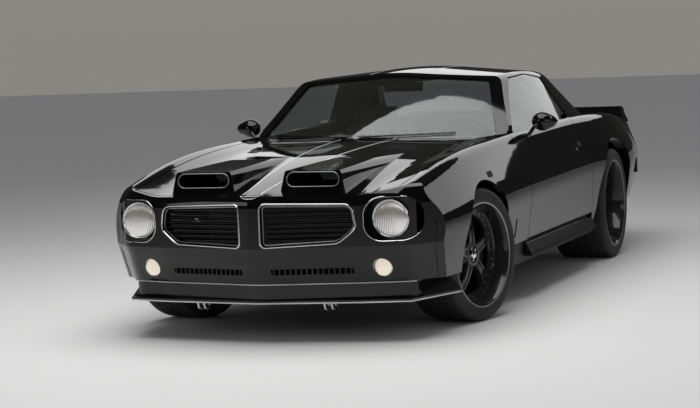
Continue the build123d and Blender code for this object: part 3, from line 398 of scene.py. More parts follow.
def row_ends(outline, z):
    """Where a level line crosses a closed outline."""
    xs = []
    for a, b in zip(outline, outline[1:] + outline[:1]):
        if (a.y - z) * (b.y - z) < 0:
            xs.append(a.x + (b.x - a.x) * (z - a.y) / (b.y - a.y))
    return min(xs), max(xs)


# Lines and strips that follow the car's faces, found by rays from outside

BEYOND = 3.2
BESIDE = 1.3
ABOVE_BONNET, ABOVE_SCREEN, ABOVE_ROOF = 1.3, 1.5, 1.6
EDGE_CLEAR = 0.003


def search_tree(*names):
    """A search tree over the faces of some nodes."""
    verts, faces = [], []
    for name in names:
        obj = nodes[name]
        start = len(verts)
        verts += [obj.matrix_world @ v.co for v in obj.data.vertices]
        faces += [tuple(i + start for i in p.vertices) for p in obj.data.polygons]
    return BVHTree.FromPolygons(verts, faces)


def meet(tree, point, direction):
    """Where a ray meets the faces, with the normal turned back along the ray, or None."""
    direction = Vector(direction)
    hit, normal, _, _ = tree.ray_cast(Vector(point), direction)
    if hit is None:
        return None
    return hit, (normal if normal.dot(direction) < 0 else -normal)


def strip(tree, path, direction, width, proud=0.0006, sunk=0.0015):
    """A thin strip laid on faces along a path that is seen along a direction."""
    direction = Vector(direction)
    path = [Vector(p) for p in path]
    rings = []
    for i, p in enumerate(path):
        along = path[min(i + 1, len(path) - 1)] - path[max(i - 1, 0)]
        side = along.cross(direction).normalized() * (width / 2)
        ends = [meet(tree, p + side * s - direction, direction) for s in (-1, 1)]
        if None in ends:
            continue
        (a, na), (b, nb) = ends
        rings.append([a + na * proud, b + nb * proud, b - nb * sunk, a - na * sunk])
    return sections(rings)


def landing(tree, path, direction, across):
    """The points of a path with faces on both sides of them."""
    def lands(p, by):
        return meet(tree, tuple(c + by * a for c, a in zip(p, across)), direction)

    return [p for p in path if lands(p, -EDGE_CLEAR) and lands(p, EDGE_CLEAR)]


def carried(outline, by, tree, direction, aside=0.004):
    """An outline carried onto faces seen along Y, read just outside its opening."""
    points = []
    for p, q in zip(grown(outline, by), grown(outline, by + aside)):
        hit = meet(tree, (q.x, -BEYOND * direction[1], q.y), direction)
        if hit:
            points.append(Vector((p.x, hit[0].y, p.y)))
    return points


nose_tree = search_tree("nose_panel", "front_valance")
bonnet_tree = search_tree("bonnet")
cowl_tree = search_tree("cowl_panel")


def nose_y(x, z):
    """How far forward the nose's face lies, or None."""
    hit = meet(nose_tree, (x, -BEYOND, z), REARWARD)
    return hit[0].y if hit else None


# Wheels

WHEELS = {
    "front": dict(half=0.1375, radius=0.337, middle=0.757, lip=0.267, dish=0.062, y=-1.450),
    "rear": dict(half=0.1725, radius=0.341, middle=0.750, lip=0.270, dish=0.138, y=1.296),
}
KINGPIN = 0.680
STEER = math.radians(-14.0)
AXIS = 0.0001
SHOULDER = 0.036
GROOVES, GROOVE_WIDE, GROOVE_DEEP, GROOVE_SLOPE = 4, 0.009, 0.0075, 0.0012
TREAD_BLOCKS, BLOCK_STEPS, TREAD_SET, CUT_DEEP = 60, 4, 0.0004, 0.006
LIP_SET, FLANGE_SET = 0.006, 0.046
SPOKES, SPOKE_FOOT, SPOKE_DEEP = 5, 0.050, 0.030
RIVETS, RIVET_GROUP = 30, 6
NUT_CIRCLE = 0.030


def wheel_matrix(end, sign):
    """From a left wheel about the origin's X axis to its place on the car."""
    w = WHEELS[end]
    matrix = Matrix.Translation((0, w["y"], w["radius"])) @ Matrix.Diagonal((sign, 1, 1, 1))
    if end == "front":
        pin = Matrix.Translation((sign * KINGPIN, w["y"], 0))
        matrix = pin @ Matrix.Rotation(STEER, 4, "Z") @ pin.inverted() @ matrix
    return matrix


def tyre_shape(w):
    """A low tyre: rounded shoulders, grooves round the tread and cross cuts in its blocks."""
    low, high = w["middle"] - w["half"], w["middle"] + w["half"]
    r, bead = w["radius"], w["lip"] - 0.010
    wall = [(0.016, bead), (0.006, bead + 0.006), (0.0015, bead + 0.020), (0.0, bead + 0.032),
            (0.0015, bead + 0.034), (0.0015, bead + 0.040), (0.003, r - 0.026),
            (0.008, r - 0.014), (0.016, r - 0.006), (0.028, r - 0.002)]
    x, tread_end = low + SHOULDER, high - SHOULDER
    rib = (tread_end - x - GROOVES * GROOVE_WIDE) / (GROOVES + 1)
    profile = [(low + a, b) for a, b in wall]
    on_tread = [False] * len(wall)
    for i in range(GROOVES + 1):
        profile += [(x + rib * share, r - TREAD_SET) for share in (0.0, 0.5, 1.0)]
        on_tread += [True] * 3
        x += rib
        if i < GROOVES:
            profile += [(x + GROOVE_SLOPE, r - GROOVE_DEEP),
                        (x + GROOVE_WIDE - GROOVE_SLOPE, r - GROOVE_DEEP)]
            on_tread += [False] * 2
            x += GROOVE_WIDE
    profile += [(high - a, b) for a, b in reversed(wall)]
    on_tread += [False] * len(wall)

    def wave(i, j):
        cut = on_tread[j] and (i + j // 3) % BLOCK_STEPS == 0
        return -CUT_DEEP if cut else 0.0

    return lathe(profile, TREAD_BLOCKS * BLOCK_STEPS, wave=wave)


def rim_barrel(w, lip_x, face):
    """The wheel's barrel with its dished step and a flange for the rivets."""
    low = w["middle"] - w["half"] + LIP_SET
    r = w["lip"]
    profile = [(low, r - 0.022), (low, r), (low + 0.004, r), (low + 0.006, r - 0.0105),
               (lip_x - 0.006, r - 0.0105), (lip_x - 0.005, r), (lip_x - 0.001, r + 0.0005),
               (lip_x, r - 0.003), (lip_x - 0.001, r - 0.009), (lip_x - 0.010, r - 0.013),
               (lip_x - 0.022, r - 0.020), (face - 0.012, r - 0.026), (face - 0.020, r - 0.032),
               (face - 0.024, r - 0.062), (face - 0.030, r - 0.066), (face - 0.040, r - 0.066),
               (face - 0.044, r - 0.030)]
    return lathe(profile, 96)


def spoke_shape(face, r_out):
    """One spoke: a ribbed bar that runs out flat and then falls back to the flange."""
    rings = []
    for t in span(0, 1, 13):
        r = SPOKE_FOOT + (r_out - SPOKE_FOOT) * t
        fall = 0.0 if t < 0.5 else 0.040 * ((t - 0.5) / 0.5) ** 1.6
        top = face + 0.004 * math.sin(math.pi * min(t / 0.6, 1.0)) - fall
        waist = 0.006 * math.sin(math.pi * min(t / 0.8, 1.0))
        wide = 0.031 - waist + 0.012 * max(t - 0.6, 0) / 0.4
        ring = [(-wide, -SPOKE_DEEP), (-wide, -0.007), (-wide + 0.004, 0.0), (-wide * 0.42, 0.0),
                (-wide * 0.36, -0.004), (wide * 0.36, -0.004), (wide * 0.42, 0.0),
                (wide - 0.004, 0.0), (wide, -0.007), (wide, -SPOKE_DEEP)]
        rings.append([(top + h, s, r) for s, h in ring])
    return sections(rings)


def hub_shape(face):
    """The wheel's middle with a raised ring."""
    back = face - 0.044
    profile = [(back, AXIS), (back, 0.080), (face - 0.030, 0.080), (face - 0.018, 0.074),
               (face - 0.012, 0.066), (face + 0.001, 0.060), (face + 0.002, 0.044),
               (face - 0.006, 0.042), (face - 0.008, AXIS)]
    return lathe(profile, 60, closed=False)


def rim_shape(w, lip_x, face):
    """Barrel, hub and spokes of one wheel."""
    shapes = [rim_barrel(w, lip_x, face), hub_shape(face)]
    spoke = spoke_shape(face, w["lip"] - FLANGE_SET + 0.004)
    for i in range(SPOKES):
        shapes.append(moved(spoke, Matrix.Rotation(TURN * (i + 0.08) / SPOKES, 4, "X")))
    return merge(*shapes)


def lip_shape(r, lip_x):
    """The turned edge of the rim."""
    profile = [(lip_x - 0.004, r - 0.001), (lip_x - 0.0015, r + 0.0012), (lip_x + 0.001, r),
               (lip_x + 0.0012, r - 0.004), (lip_x - 0.0006, r - 0.0085)]
    return lathe(profile, 128)


def studs_shape(face, flange):
    """Rivets round the flange, with gaps between their groups, and the wheel nuts."""
    studs = []
    for i in range(RIVETS):
        if i % RIVET_GROUP:
            a = TURN * (i + 0.5) / RIVETS
            c = (face - 0.0225, flange * math.sin(a), flange * math.cos(a))
            studs.append(dome(c, OUTWARD, 0.0036, 0.0034, 8, 3))
    for i in range(SPOKES):
        a = TURN * (i + 0.58) / SPOKES
        c = (face - 0.007, NUT_CIRCLE * math.sin(a), NUT_CIRCLE * math.cos(a))
        studs.append(dome(c, OUTWARD, 0.0075, 0.014, 6, 2))
    return merge(*studs)


def cap_shape(face):
    """The cap over the wheel's bearing."""
    profile = [(face - 0.010, AXIS), (face - 0.010, 0.024), (face + 0.008, 0.023),
               (face + 0.013, 0.018), (face + 0.015, 0.008), (face + 0.0155, AXIS)]
    return lathe(profile, 40, closed=False)


def make_wheel(end, side, sign):
    """Tyre, rim, bright lip, rivets, nuts and cap of one wheel."""
    w = WHEELS[end]
    matrix = wheel_matrix(end, sign)
    tag = f"{end}_{side}"
    body = f"wheel_{tag}"
    lip_x = w["middle"] + w["half"] - LIP_SET
    face = lip_x - w["dish"]
    tyre = add_mesh(f"tyre_tread_{tag}", *moved(tyre_shape(w), matrix), RUBBER, body, "tyre", 28)
    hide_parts(f"tyre_{tag}")
    rim = add_mesh(f"rim_dished_{tag}", *moved(rim_shape(w, lip_x, face), matrix),
                   ALLOY, body, "alloy", 30)
    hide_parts(f"rim_{tag}")
    for name, shape, material in (("lip", lip_shape(w["lip"], lip_x), STEEL),
                                  ("studs", studs_shape(face, w["lip"] - FLANGE_SET), CHROME),
                                  ("cap", cap_shape(face), CHROME)):
        add_mesh(f"rim_{name}_{tag}", *moved(shape, matrix), material, body, "alloy")


# Head lamps and fog lamps

HEAD_LAMP = Vector((0.657, -2.2545, 0.598))
FOG_LAMP = Vector((0.603, -2.2285, 0.364))
LAMP_POCKET = rectangle((0.542, 0.494), (0.798, 0.702), 0.084)


def lens(centre, radius, height):
    """A round bowed lens with a short skirt."""
    return dome(centre, FRONTWARD, radius, height, 64, 10, base=0.004)


def bezel(centre, radius, thick):
    """A round bar about a lamp."""
    return tube(disc_ring(centre, FRONTWARD, radius, 72), thick, True, 10)


def make_lamps():
    """Lenses and bezels of the four lamps, and the edges of the head lamps' pockets."""
    add_mesh("head_lamp_lenses", *pair(lens(HEAD_LAMP, 0.0865, 0.016)), FLUTED, "body", "lamp", 60)
    add_mesh("head_lamp_bezels", *pair(bezel(HEAD_LAMP, 0.0885, 0.0042)), CHROME, "body", "lamp")
    add_mesh("fog_lamp_lenses", *pair(lens(FOG_LAMP, 0.0425, 0.010)), GLOW, "body", "lamp", 60)
    add_mesh("fog_lamp_bezels", *pair(bezel(FOG_LAMP, 0.0435, 0.003)), BRIGHT, "body", "lamp")
    edge = tube(carried(LAMP_POCKET, 0.001, nose_tree, REARWARD), 0.0026, True)
    add_mesh("lamp_pocket_edges", *pair(edge), BRIGHT, "body", "lamp")


# Grilles and scoops

GRILLE = rounded([(0.054, 0.476), (0.054, 0.684), (0.490, 0.672), (0.506, 0.560), (0.420, 0.490)],
                 [0.024, 0.024, 0.044, 0.050, 0.080])
SCOOP = rectangle((0.152, 0.758), (0.418, 0.826), 0.033)
BLADE_ROWS = span(0.500, 0.662, 8)
BLADE_BACK, BLADE_DEEP, BLADE_THICK, BLADE_RISE = 0.020, 0.016, 0.003, 0.002
INNER_BACK = 0.015


def face_line(x):
    """The nose's upright face in plan."""
    return float(np.interp(abs(x), [0, 0.506, 0.724], [-2.433, -2.326, -2.262]))


def blade(z):
    """A level blade across the grille's opening, parallel to the nose."""
    low, high = z - BLADE_THICK / 2, z + BLADE_THICK / 2
    rings = []
    for x in span(*row_ends(GRILLE, z), 9):
        y = face_line(x) + BLADE_BACK
        rings.append([(x, y, low), (x, y, high), (x, y + BLADE_DEEP, high + BLADE_RISE),
                      (x, y + BLADE_DEEP, low + BLADE_RISE)])
    return sections(rings)


def make_grilles():
    """Blades of the grilles painted near-black as the shade of their recess, frames of the
    grilles, and rings round the bonnet's scoops.
    """
    blades = merge(*[blade(z) for z in BLADE_ROWS])
    # The blades carry painted shade: near-black for the dark of the grille's recess.
    add_mesh("grille_blades", *pair(blades), PAINTED_SHADE, "body", "grille")
    outer = tube(carried(GRILLE, 0.001, nose_tree, REARWARD), 0.0042, True, 10)
    add_mesh("grille_frames", *pair(outer), BRIGHT, "body", "grille")
    inner = [Vector((p.x, face_line(p.x) + INNER_BACK, p.y)) for p in grown(GRILLE, -0.010)]
    add_mesh("grille_inner_frames", *pair(tube(inner, 0.003, True)), STEEL, "body", "grille")
    mouth = tube(carried(SCOOP, 0.0005, bonnet_tree, REARWARD), 0.0024, True, 10)
    add_mesh("scoop_rings", *pair(mouth), STEEL, "bonnet", "body_paint")


# Valance and splitter

RIB_HALF, RIB_FOOT, RIB_TOP = 0.0022, 0.3365, 0.3655
SLOT_EDGE_Z = 0.3735
LIP_FACE_Z, LIP_LINE_Z = 0.2895, 0.2875
SPLITTER = [(0.872, -1.862), (0.735, -2.226), (0.505, -2.282), (0.0, -2.356)]
SPLITTER_Z = 0.1995
STAYS_X = (0.315, 0.350)
STAY_PATH = [(0.060, 0.197), (0.054, 0.172), (0.030, 0.160), (0.006, 0.168), (-0.006, 0.197)]


def make_valance():
    """Upright ribs in the valance's slots and a line along its lip."""
    ribs = []
    for x in span(0.090, 0.456, 15):
        y = nose_y(x, SLOT_EDGE_Z)
        ribs.append(box((x - RIB_HALF, y + 0.006, RIB_FOOT), (x + RIB_HALF, y + 0.026, RIB_TOP)))
    add_mesh("valance_ribs", *pair(merge(*ribs)), IRON, "body", "lower_trim")
    lip = []
    for x in span(-0.80, 0.80, 81):
        y = nose_y(x, LIP_FACE_Z)
        if y:
            lip.append((x, y - 0.0006, LIP_LINE_Z))
    add_mesh("valance_lip_line", *tube(lip, 0.0026), SILVER, "body", "lower_trim")


def make_splitter():
    """A line round the splitter's edge and the hooks that hold it."""
    edge = [(x, y, SPLITTER_Z) for x, y in SPLITTER]
    edge += [(-x, y, SPLITTER_Z) for x, y in reversed(SPLITTER[:-1])]
    add_mesh("splitter_edge", *tube(edge, 0.0034), SILVER, "body", "lower_trim")
    edge_x, edge_y = zip(*reversed(SPLITTER))
    hooks = []
    for x in STAYS_X:
        y = float(np.interp(x, edge_x, edge_y)) + 0.030
        hooks.append(tube([(x, y + back, z) for back, z in STAY_PATH], 0.0065, n=12))
    add_mesh("splitter_stays", *pair(merge(*hooks)), CHROME, "body", "lower_trim")


# Corner fillers between the valance and the fenders

corner_tree = search_tree("nose_panel", "front_valance", "fender_left")
CORNER_X = 0.66
CORNER_STEP, CORNER_LEVEL = 0.02, 0.005
FILLER_SET, FILLER_LAP, FILLER_BACK = 0.002, 0.002, 0.012


def corner_gap(z):
    """The last outer point ahead of the open corner and the first behind it, or None."""
    seen = []
    for y in span(-2.300, -1.880, 85):
        hit = meet(corner_tree, (BESIDE, y, z), INWARD)
        seen.append((y, hit[0].x if hit and hit[0].x > CORNER_X else None))
    for (y0, x0), (_, x1) in zip(seen, seen[1:]):
        if x0 is not None and (x1 is None or x1 < x0 - CORNER_STEP):
            behind = [(x, y) for y, x in seen
                      if y > y0 and x is not None and x > x0 - CORNER_LEVEL]
            return ((x0, y0), behind[0]) if behind else None
    return None


def make_corner_fillers():
    """Small painted panels that close the open corners."""
    rows = []
    for z in span(0.292, 0.640, 30):
        ends = corner_gap(z)
        if ends:
            (x0, y0), (x1, y1) = ends
            front, back = y0 - FILLER_LAP, y1 + FILLER_LAP
            rows.append([(x0 - FILLER_SET, front, z), (x1 - FILLER_SET, back, z),
                         (x1 - FILLER_BACK, back, z), (x0 - FILLER_BACK, front, z)])
    add_mesh("corner_fillers", *pair(sections(rows)), PAINT, "body", "body_paint", 50)


# Pinstripes

STRIPE_HALF, BEAK_HALF, STRIPE_WIDE = 0.163, 0.046, 0.008
STRIPE_RUNS = [("cowl_panel", "body", -0.790, -0.690), ("roof_panel", "body", -0.150, 0.800),
               ("rear_deck", "body", 1.100, 1.520), ("boot_lid", "boot_lid", 1.400, 2.260),
               ("spoiler_centre", "boot_lid", 2.150, 2.320)]


def stripe_half(y):
    """Half the space between the bonnet's stripes, narrowing towards the beak."""
    return float(np.interp(y, [-2.300, -1.900, -0.760], [BEAK_HALF, 0.075, STRIPE_HALF]))


def make_pinstripes():
    """Two stripes over the whole car, joined by a bow at the beak."""
    line = [(stripe_half(y), y, ABOVE_BONNET) for y in span(-0.800, -2.372, 60)]
    add_mesh("bonnet_pinstripes", *pair(strip(bonnet_tree, line, DOWN, STRIPE_WIDE)),
             SILVER, "bonnet", "body_paint")
    line = [(BEAK_HALF * math.cos(a), -2.392 - 0.024 * math.sin(a), ABOVE_BONNET)
            for a in span(0, math.pi, 33)]
    add_mesh("beak_pinstripe", *strip(search_tree("nose_panel"), line, DOWN, STRIPE_WIDE),
             SILVER, "body", "body_paint")
    for node, body, y0, y1 in STRIPE_RUNS:
        tree = search_tree(node)
        line = [(STRIPE_HALF, y, ABOVE_ROOF) for y in span(y0, y1, 60)]
        line = landing(tree, line, DOWN, OUTWARD)
        add_mesh(f"{node}_pinstripes", *pair(strip(tree, line, DOWN, STRIPE_WIDE)),
                 SILVER, body, "body_paint")


# Door fittings and skirt lines

HANDLE_Z = 0.759
MIRROR_X, MIRROR_Y, MIRROR_Z = 0.886, -0.2357, 0.940
MIRROR_WIDE, MIRROR_HIGH, MIRROR_THICK = 0.047, 0.037, 0.0014
SKIRT_LINES = (("top", 0.304), ("foot", 0.246))


def mirror_plate():
    """The left mirror's oval glass."""
    face = [Vector((MIRROR_X + MIRROR_WIDE * math.cos(a), MIRROR_Y,
                    MIRROR_Z + MIRROR_HIGH * math.sin(a))) for a in span(0, TURN, 49)[:-1]]
    return sections([face, [p + Vector((0, MIRROR_THICK, 0)) for p in face]])


def make_door_fittings():
    """Handle flap, lock and mirror glass of each door."""
    for side, sign in SIDES:
        body = f"door_{side}"
        tree = search_tree(body)
        inward = (-sign, 0, 0)
        line = [(sign * BESIDE, y, HANDLE_Z) for y in span(0.500, 0.580, 9)]
        add_mesh(f"door_handle_{side}", *strip(tree, line, inward, 0.026, 0.0035, 0.004),
                 CHROME, body, "body_paint")
        place, normal = meet(tree, (sign * BESIDE, 0.470, 0.735), inward)
        add_mesh(f"door_lock_{side}", *dome(place, normal, 0.008, 0.002, 24, 3),
                 CHROME, body, "body_paint")
        plate = mirror_plate() if side == "left" else mirrored(mirror_plate())
        add_mesh(f"mirror_glass_{side}", *plate, CHROME, body, "glass")


def make_skirt_lines():
    """Two bright lines along each side skirt."""
    tree = search_tree("side_skirts")
    for name, z in SKIRT_LINES:
        line = [(BESIDE, y, z) for y in span(-0.98, 0.82, 60)]
        line = landing(tree, line, INWARD, (0, 0, 1))
        add_mesh(f"skirt_line_{name}", *pair(strip(tree, line, INWARD, 0.004, 0.001)),
                 BRIGHT, "body", "lower_trim")


# Wipers and cowl vents

WIPERS = ((-0.060, 0.480), (-0.600, -0.090))
WIPER_ELBOW = Vector((0.02, 0.004, 0.014))


def screen_foot(x):
    """How far back the windscreen's foot lies."""
    return -0.745 + 0.229 * (x / 0.75) ** 2


def make_wipers():
    """Two blades on the windscreen, each with an arm from the cowl."""
    tree = search_tree("windscreen")
    shapes = []
    for low, high in WIPERS:
        blade_line = []
        for x in span(low, high, 16):
            hit = meet(tree, (x, screen_foot(x) + 0.050, ABOVE_SCREEN), DOWN)
            if hit:
                blade_line.append(hit[0] + hit[1] * 0.007)
        shapes.append(tube(blade_line, 0.0045, n=6))
        pivot = (low + 0.03, screen_foot(low) - 0.012, ABOVE_SCREEN)
        seat, _ = meet(cowl_tree, pivot, DOWN)
        arm = [seat, seat + WIPER_ELBOW, *blade_line[5:7]]
        shapes.append(tube(arm, 0.005, n=6))
    add_mesh("wipers", *merge(*shapes), TRIM, "body", "lower_trim")


def make_cowl_vents():
    """A perforated sheet ahead of the windscreen on each side."""
    line = [(x, screen_foot(x) - 0.030, ABOVE_SCREEN) for x in span(0.200, 0.600, 24)]
    add_mesh("cowl_vents", *pair(strip(cowl_tree, line, DOWN, 0.022, 0.0008)),
             PERFORATED, "body", "lower_trim")


# Cabin mirror

def make_cabin_mirror():
    """The mirror under the header with its stalk and its glass."""
    shell = box((-0.115, -0.055, 1.120), (0.115, -0.036, 1.172))
    stalk = tube([(0, -0.046, 1.150), (0, -0.060, 1.190), (0, -0.085, 1.222)], 0.007)
    add_mesh("cabin_mirror", *merge(shell, stalk), PLASTIC, "body", "interior")
    plate = box((-0.108, -0.0358, 1.126), (0.108, -0.0350, 1.166))
    add_mesh("cabin_mirror_glass", *plate, CHROME, "body", "glass")


# Seats

FLUTES = [("x", -0.115), ("x", -0.058), ("x", 0.0), ("x", 0.058), ("x", 0.115)]
# Name, size, sewn channels, place on the left side and tilt in degrees.
SEAT_PADS = (
    ("seat_cushion", (0.395, 0.440, 0.072), FLUTES + [("y", 0.150)], (0.390, 0.225, 0.424), -3.2),
    ("seat_squab", (0.365, 0.480, 0.068), FLUTES + [("y", 0.165)], (0.390, 0.497, 0.668), 76.9),
    ("rear_cushion", (0.500, 0.380, 0.066), FLUTES, (0.290, 0.880, 0.432), -5.5),
    ("rear_squab", (0.500, 0.330, 0.060), FLUTES, (0.290, 1.098, 0.600), 82.7),
)
PILLOW_POWER, PILLOW_POINTS, PILLOW_ROWS = 5.0, 40, 14
PAD_VOXEL = 0.006
PAD_PRESSURE, PAD_STEPS, PAD_SWELL = 4.0, 20, 0.014
SEAM_WIDE, SEAM_DEEP = 0.006, 0.009


def squared(value):
    """A sine or cosine drawn towards a square's."""
    return math.copysign(abs(value) ** (2 / PILLOW_POWER), value)


def pillow(size):
    """A rounded block about the origin whose sides pull in, with its thickness along Z."""
    wide, deep, thick = (v / 2 for v in size)
    rings = []
    for k in range(PILLOW_ROWS):
        tilt = -math.pi / 2 + math.pi * (k + 0.5) / PILLOW_ROWS
        share, height = squared(math.cos(tilt)), squared(math.sin(tilt)) * thick
        ring = []
        for i in range(PILLOW_POINTS):
            a = TURN * (i + 0.5) / PILLOW_POINTS
            ring.append((squared(math.cos(a)) * wide * share,
                         squared(math.sin(a)) * deep * share, height))
        rings.append(ring)
    return sections(rings)


def evaluated(obj):
    """An object as its modifiers leave it."""
    return obj.evaluated_get(bpy.context.evaluated_depsgraph_get())


def stuffed(shape, seams):
    """A pad swollen as cloth under pressure, then drawn in along its seams."""
    mesh = bpy.data.meshes.new("pad_start")
    mesh.from_pydata(shape[0], [], shape[1])
    pad = bpy.data.objects.new("pad_start", mesh)
    scene.collection.objects.link(pad)
    remesh = pad.modifiers.new("remesh", "REMESH")
    remesh.mode = "VOXEL"
    remesh.voxel_size = PAD_VOXEL
    even = bpy.data.meshes.new_from_object(evaluated(pad))
    pad.modifiers.clear()
    pad.data = even
    start = [v.co.copy() for v in even.vertices]
    faces = [tuple(p.vertices) for p in even.polygons]
    swollen = start
    cloth = pad.modifiers.new("cloth", "CLOTH")
    cloth.settings.use_pressure = True
    cloth.settings.uniform_pressure_force = PAD_PRESSURE
    cloth.settings.effector_weights.gravity = 0.0
    for step in range(1, PAD_STEPS + 1):
        scene.frame_set(step)
    swollen = [v.co.copy() for v in evaluated(pad).data.vertices]
    pad.modifiers.clear()
    scene.frame_set(1)
    out = []
    for a, b in zip(start, swollen):
        move = b - a
        if move.length > PAD_SWELL:
            move *= PAD_SWELL / move.length
        p = a + move
        groove = sum(math.exp(-((getattr(p, axis) - at) / SEAM_WIDE) ** 2) for axis, at in seams)
        p.z -= math.copysign(SEAM_DEEP, p.z) * min(groove, 1.0)
        out.append(p)
    bpy.data.objects.remove(pad)
    return out, faces


def make_seats():
    """Leather pads of the front and rear seats, stuffed."""
    shapes = [stuffed(pillow(size), seams) for _, size, seams, _, _ in SEAT_PADS]
    for side, sign in SIDES:
        for shape, (name, _, _, (x, y, z), tilt) in zip(shapes, SEAT_PADS):
            place = Matrix.Translation((sign * x, y, z))
            matrix = place @ Matrix.Rotation(math.radians(tilt), 4, "X")
            piece = add_mesh(f"{name}_{side}", *moved(shape, matrix), LEATHER, "body", "seat", 80)


# Fender vents

def make_fender_vents():
    """Dark strips painted as shade: an upright slit behind each front wheel and a level one above
    it.
    """
    slits = []
    for side, sign in SIDES:
        tree = search_tree(f"fender_{side}")
        inward = (-sign, 0, 0)
        upright = [(sign * BESIDE, -0.930, z) for z in span(0.362, 0.458, 9)]
        level = [(sign * BESIDE, y, 0.729) for y in span(-1.352, -1.272, 9)]
        slits.append(strip(tree, upright, inward, 0.026, 0.0008))
        slits.append(strip(tree, level, inward, 0.030, 0.0008))
    # The slits are painted shade, dark strips laid on the fender where the vents open.
    add_mesh("fender_vents", *merge(*slits), PAINTED_SHADE, "body", "lower_trim")


# Tail and exhaust

TAIL_LAMP = rectangle((0.330, 0.640), (0.690, 0.745), 0.02)


def make_tail():
    """Frames round the tail lamps and discs at the ends of the exhaust pipes, painted dark with
    shade and soot.
    """
    tree = search_tree("tail_panel", "rear_bumper", "quarter_left", "quarter_right")
    line = carried(TAIL_LAMP, 0.001, tree, FRONTWARD, aside=0.005)
    add_mesh("tail_lamp_frames", *pair(tube(line, 0.003, True)), BRIGHT, "body", "tail_lamp")
    outlet = dome((0.250, 2.3902, 0.162), REARWARD, 0.0235, 0.0006, 40, 2)
    # Flat discs close the pipes; their near-black is painted shade of the pipes' insides, with
    # real soot.
    add_mesh("exhaust_outlets", *pair(outlet), PAINTED_SHADE, "body", "exhaust")


# Camera, floor and light

CAMERA_ANGLES = (20.31, 4.81, -2.41)
CAMERA_PLACE = (3.903, -11.569, 1.504)
FOCAL_PIXELS, PHOTO_WIDE, SENSOR_WIDE = 2093.7, 700, 36.0
FLOOR_HALF = 40.0
MIX_FACTOR, MIX_A, MIX_B, MIX_RESULT = 0, 6, 7, 2
WALL_STOPS = ((0.0, (0.25, 0.24, 0.225)), (0.35, (0.32, 0.305, 0.28)))
AMBIENT, REFLECTED = (0.26, 0.26, 0.27, 1), (0.030, 0.029, 0.028, 1)
# Name, place, target, size, radiance and whether it lights matt surfaces.
SOFT_BOXES = (
    ("top", (0, -2.0, 5.0), (0, -2.0, 0), (5, 6), 3.0, True),
    ("behind", (0.5, 9.0, 4.4), (0.5, 0, 4.0), (15, 4.0), 1.15, False),
    ("left", (6.0, -6.5, 3.0), (0.5, -1.0, 0.6), (3, 2), 1.3, True),
    ("front", (-5.5, -9.0, 3.4), (0, -1.5, 0.5), (4, 2.4), 1.6, True),
)


def make_camera():
    """The photograph's camera, fitted to the car."""
    yaw, pitch, roll = (math.radians(a) for a in CAMERA_ANGLES)
    forward = Vector((-math.sin(yaw) * math.cos(pitch), math.cos(yaw) * math.cos(pitch),
                      -math.sin(pitch)))
    level = forward.cross(Vector((0, 0, 1))).normalized()
    above = level.cross(forward)
    right = level * math.cos(roll) + above * math.sin(roll)
    up = -level * math.sin(roll) + above * math.cos(roll)
    cam = bpy.data.objects.new("camera", bpy.data.cameras.new("camera"))
    cam.data.sensor_width = SENSOR_WIDE
    cam.data.lens = FOCAL_PIXELS / PHOTO_WIDE * SENSOR_WIDE
    cam.data.clip_end = 200.0
    rows = zip(right, up, -forward, CAMERA_PLACE)
    cam.matrix_world = Matrix((*rows, (0, 0, 0, 1)))
    scene.collection.objects.link(cam)
    scene.camera = cam


def area_light(name, place, target, size, radiance, lights_matt):
    """A soft box that points at a place and is hidden from the camera."""
    lamp = bpy.data.lights.new(name, "AREA")
    lamp.shape = "RECTANGLE"
    lamp.size, lamp.size_y = size
    lamp.energy = radiance * math.pi * size[0] * size[1]
    obj = bpy.data.objects.new(name, lamp)
    obj.location = place
    obj.rotation_mode = "QUATERNION"
    obj.rotation_quaternion = (Vector(target) - Vector(place)).to_track_quat("-Z", "Y")
    obj.visible_camera = False
    obj.visible_diffuse = lights_matt
    scene.collection.objects.link(obj)


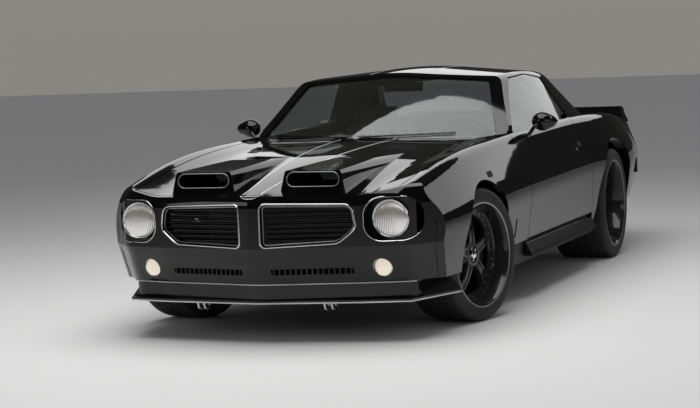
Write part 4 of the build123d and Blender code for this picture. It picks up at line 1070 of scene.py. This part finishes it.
def make_world():
    """A pale warm wall to the eye, dimmer in reflections."""
    world = bpy.data.worlds.new("world")
    scene.world = world
    world.use_nodes = True
    tree = world.node_tree
    path = tree.nodes.new("ShaderNodeLightPath")
    coord = tree.nodes.new("ShaderNodeTexCoord")
    split = tree.nodes.new("ShaderNodeSeparateXYZ")
    tree.links.new(coord.outputs["Generated"], split.inputs["Vector"])
    wall = colour_ramp(tree, split.outputs["Z"], WALL_STOPS)
    shiny = tree.nodes.new("ShaderNodeMix")
    shiny.data_type = "RGBA"
    shiny.inputs[MIX_A].default_value = AMBIENT
    shiny.inputs[MIX_B].default_value = REFLECTED
    tree.links.new(path.outputs["Is Glossy Ray"], shiny.inputs[MIX_FACTOR])
    seen = tree.nodes.new("ShaderNodeMath")
    seen.operation = "MAXIMUM"
    tree.links.new(path.outputs["Is Camera Ray"], seen.inputs[0])
    tree.links.new(path.outputs["Is Transmission Ray"], seen.inputs[1])
    final = tree.nodes.new("ShaderNodeMix")
    final.data_type = "RGBA"
    tree.links.new(seen.outputs[0], final.inputs[MIX_FACTOR])
    tree.links.new(shiny.outputs[MIX_RESULT], final.inputs[MIX_A])
    tree.links.new(wall, final.inputs[MIX_B])
    tree.links.new(final.outputs[MIX_RESULT], tree.nodes["Background"].inputs["Color"])


def make_stage():
    """A pale floor, a plain wall and soft boxes above, behind, at the left and in front."""
    mesh = bpy.data.meshes.new("floor")
    corners = ((-1, -1), (1, -1), (1, 1), (-1, 1))
    mesh.from_pydata([(x * FLOOR_HALF, y * FLOOR_HALF, 0) for x, y in corners], [], [(0, 1, 2, 3)])
    floor = bpy.data.objects.new("floor", mesh)
    scene.collection.objects.link(floor)
    mat, tree, shader = new_material("floor_pale")
    set_inputs(shader, {"Base Color": (0.72, 0.72, 0.71, 1), "Roughness": 0.75})
    grained(tree, shader, 60.0, 0.05)
    mesh.materials.append(mat)
    make_world()
    for soft_box in SOFT_BOXES:
        area_light(*soft_box)


colour_nodes()
for wheel_end in WHEELS:
    for wheel_side, wheel_sign in SIDES:
        make_wheel(wheel_end, wheel_side, wheel_sign)
make_lamps()
make_grilles()
make_valance()
make_splitter()
make_corner_fillers()
make_pinstripes()
make_door_fittings()
make_skirt_lines()
make_wipers()
make_cowl_vents()
make_cabin_mirror()
make_seats()
make_fender_vents()
make_tail()
make_camera()
make_stage()
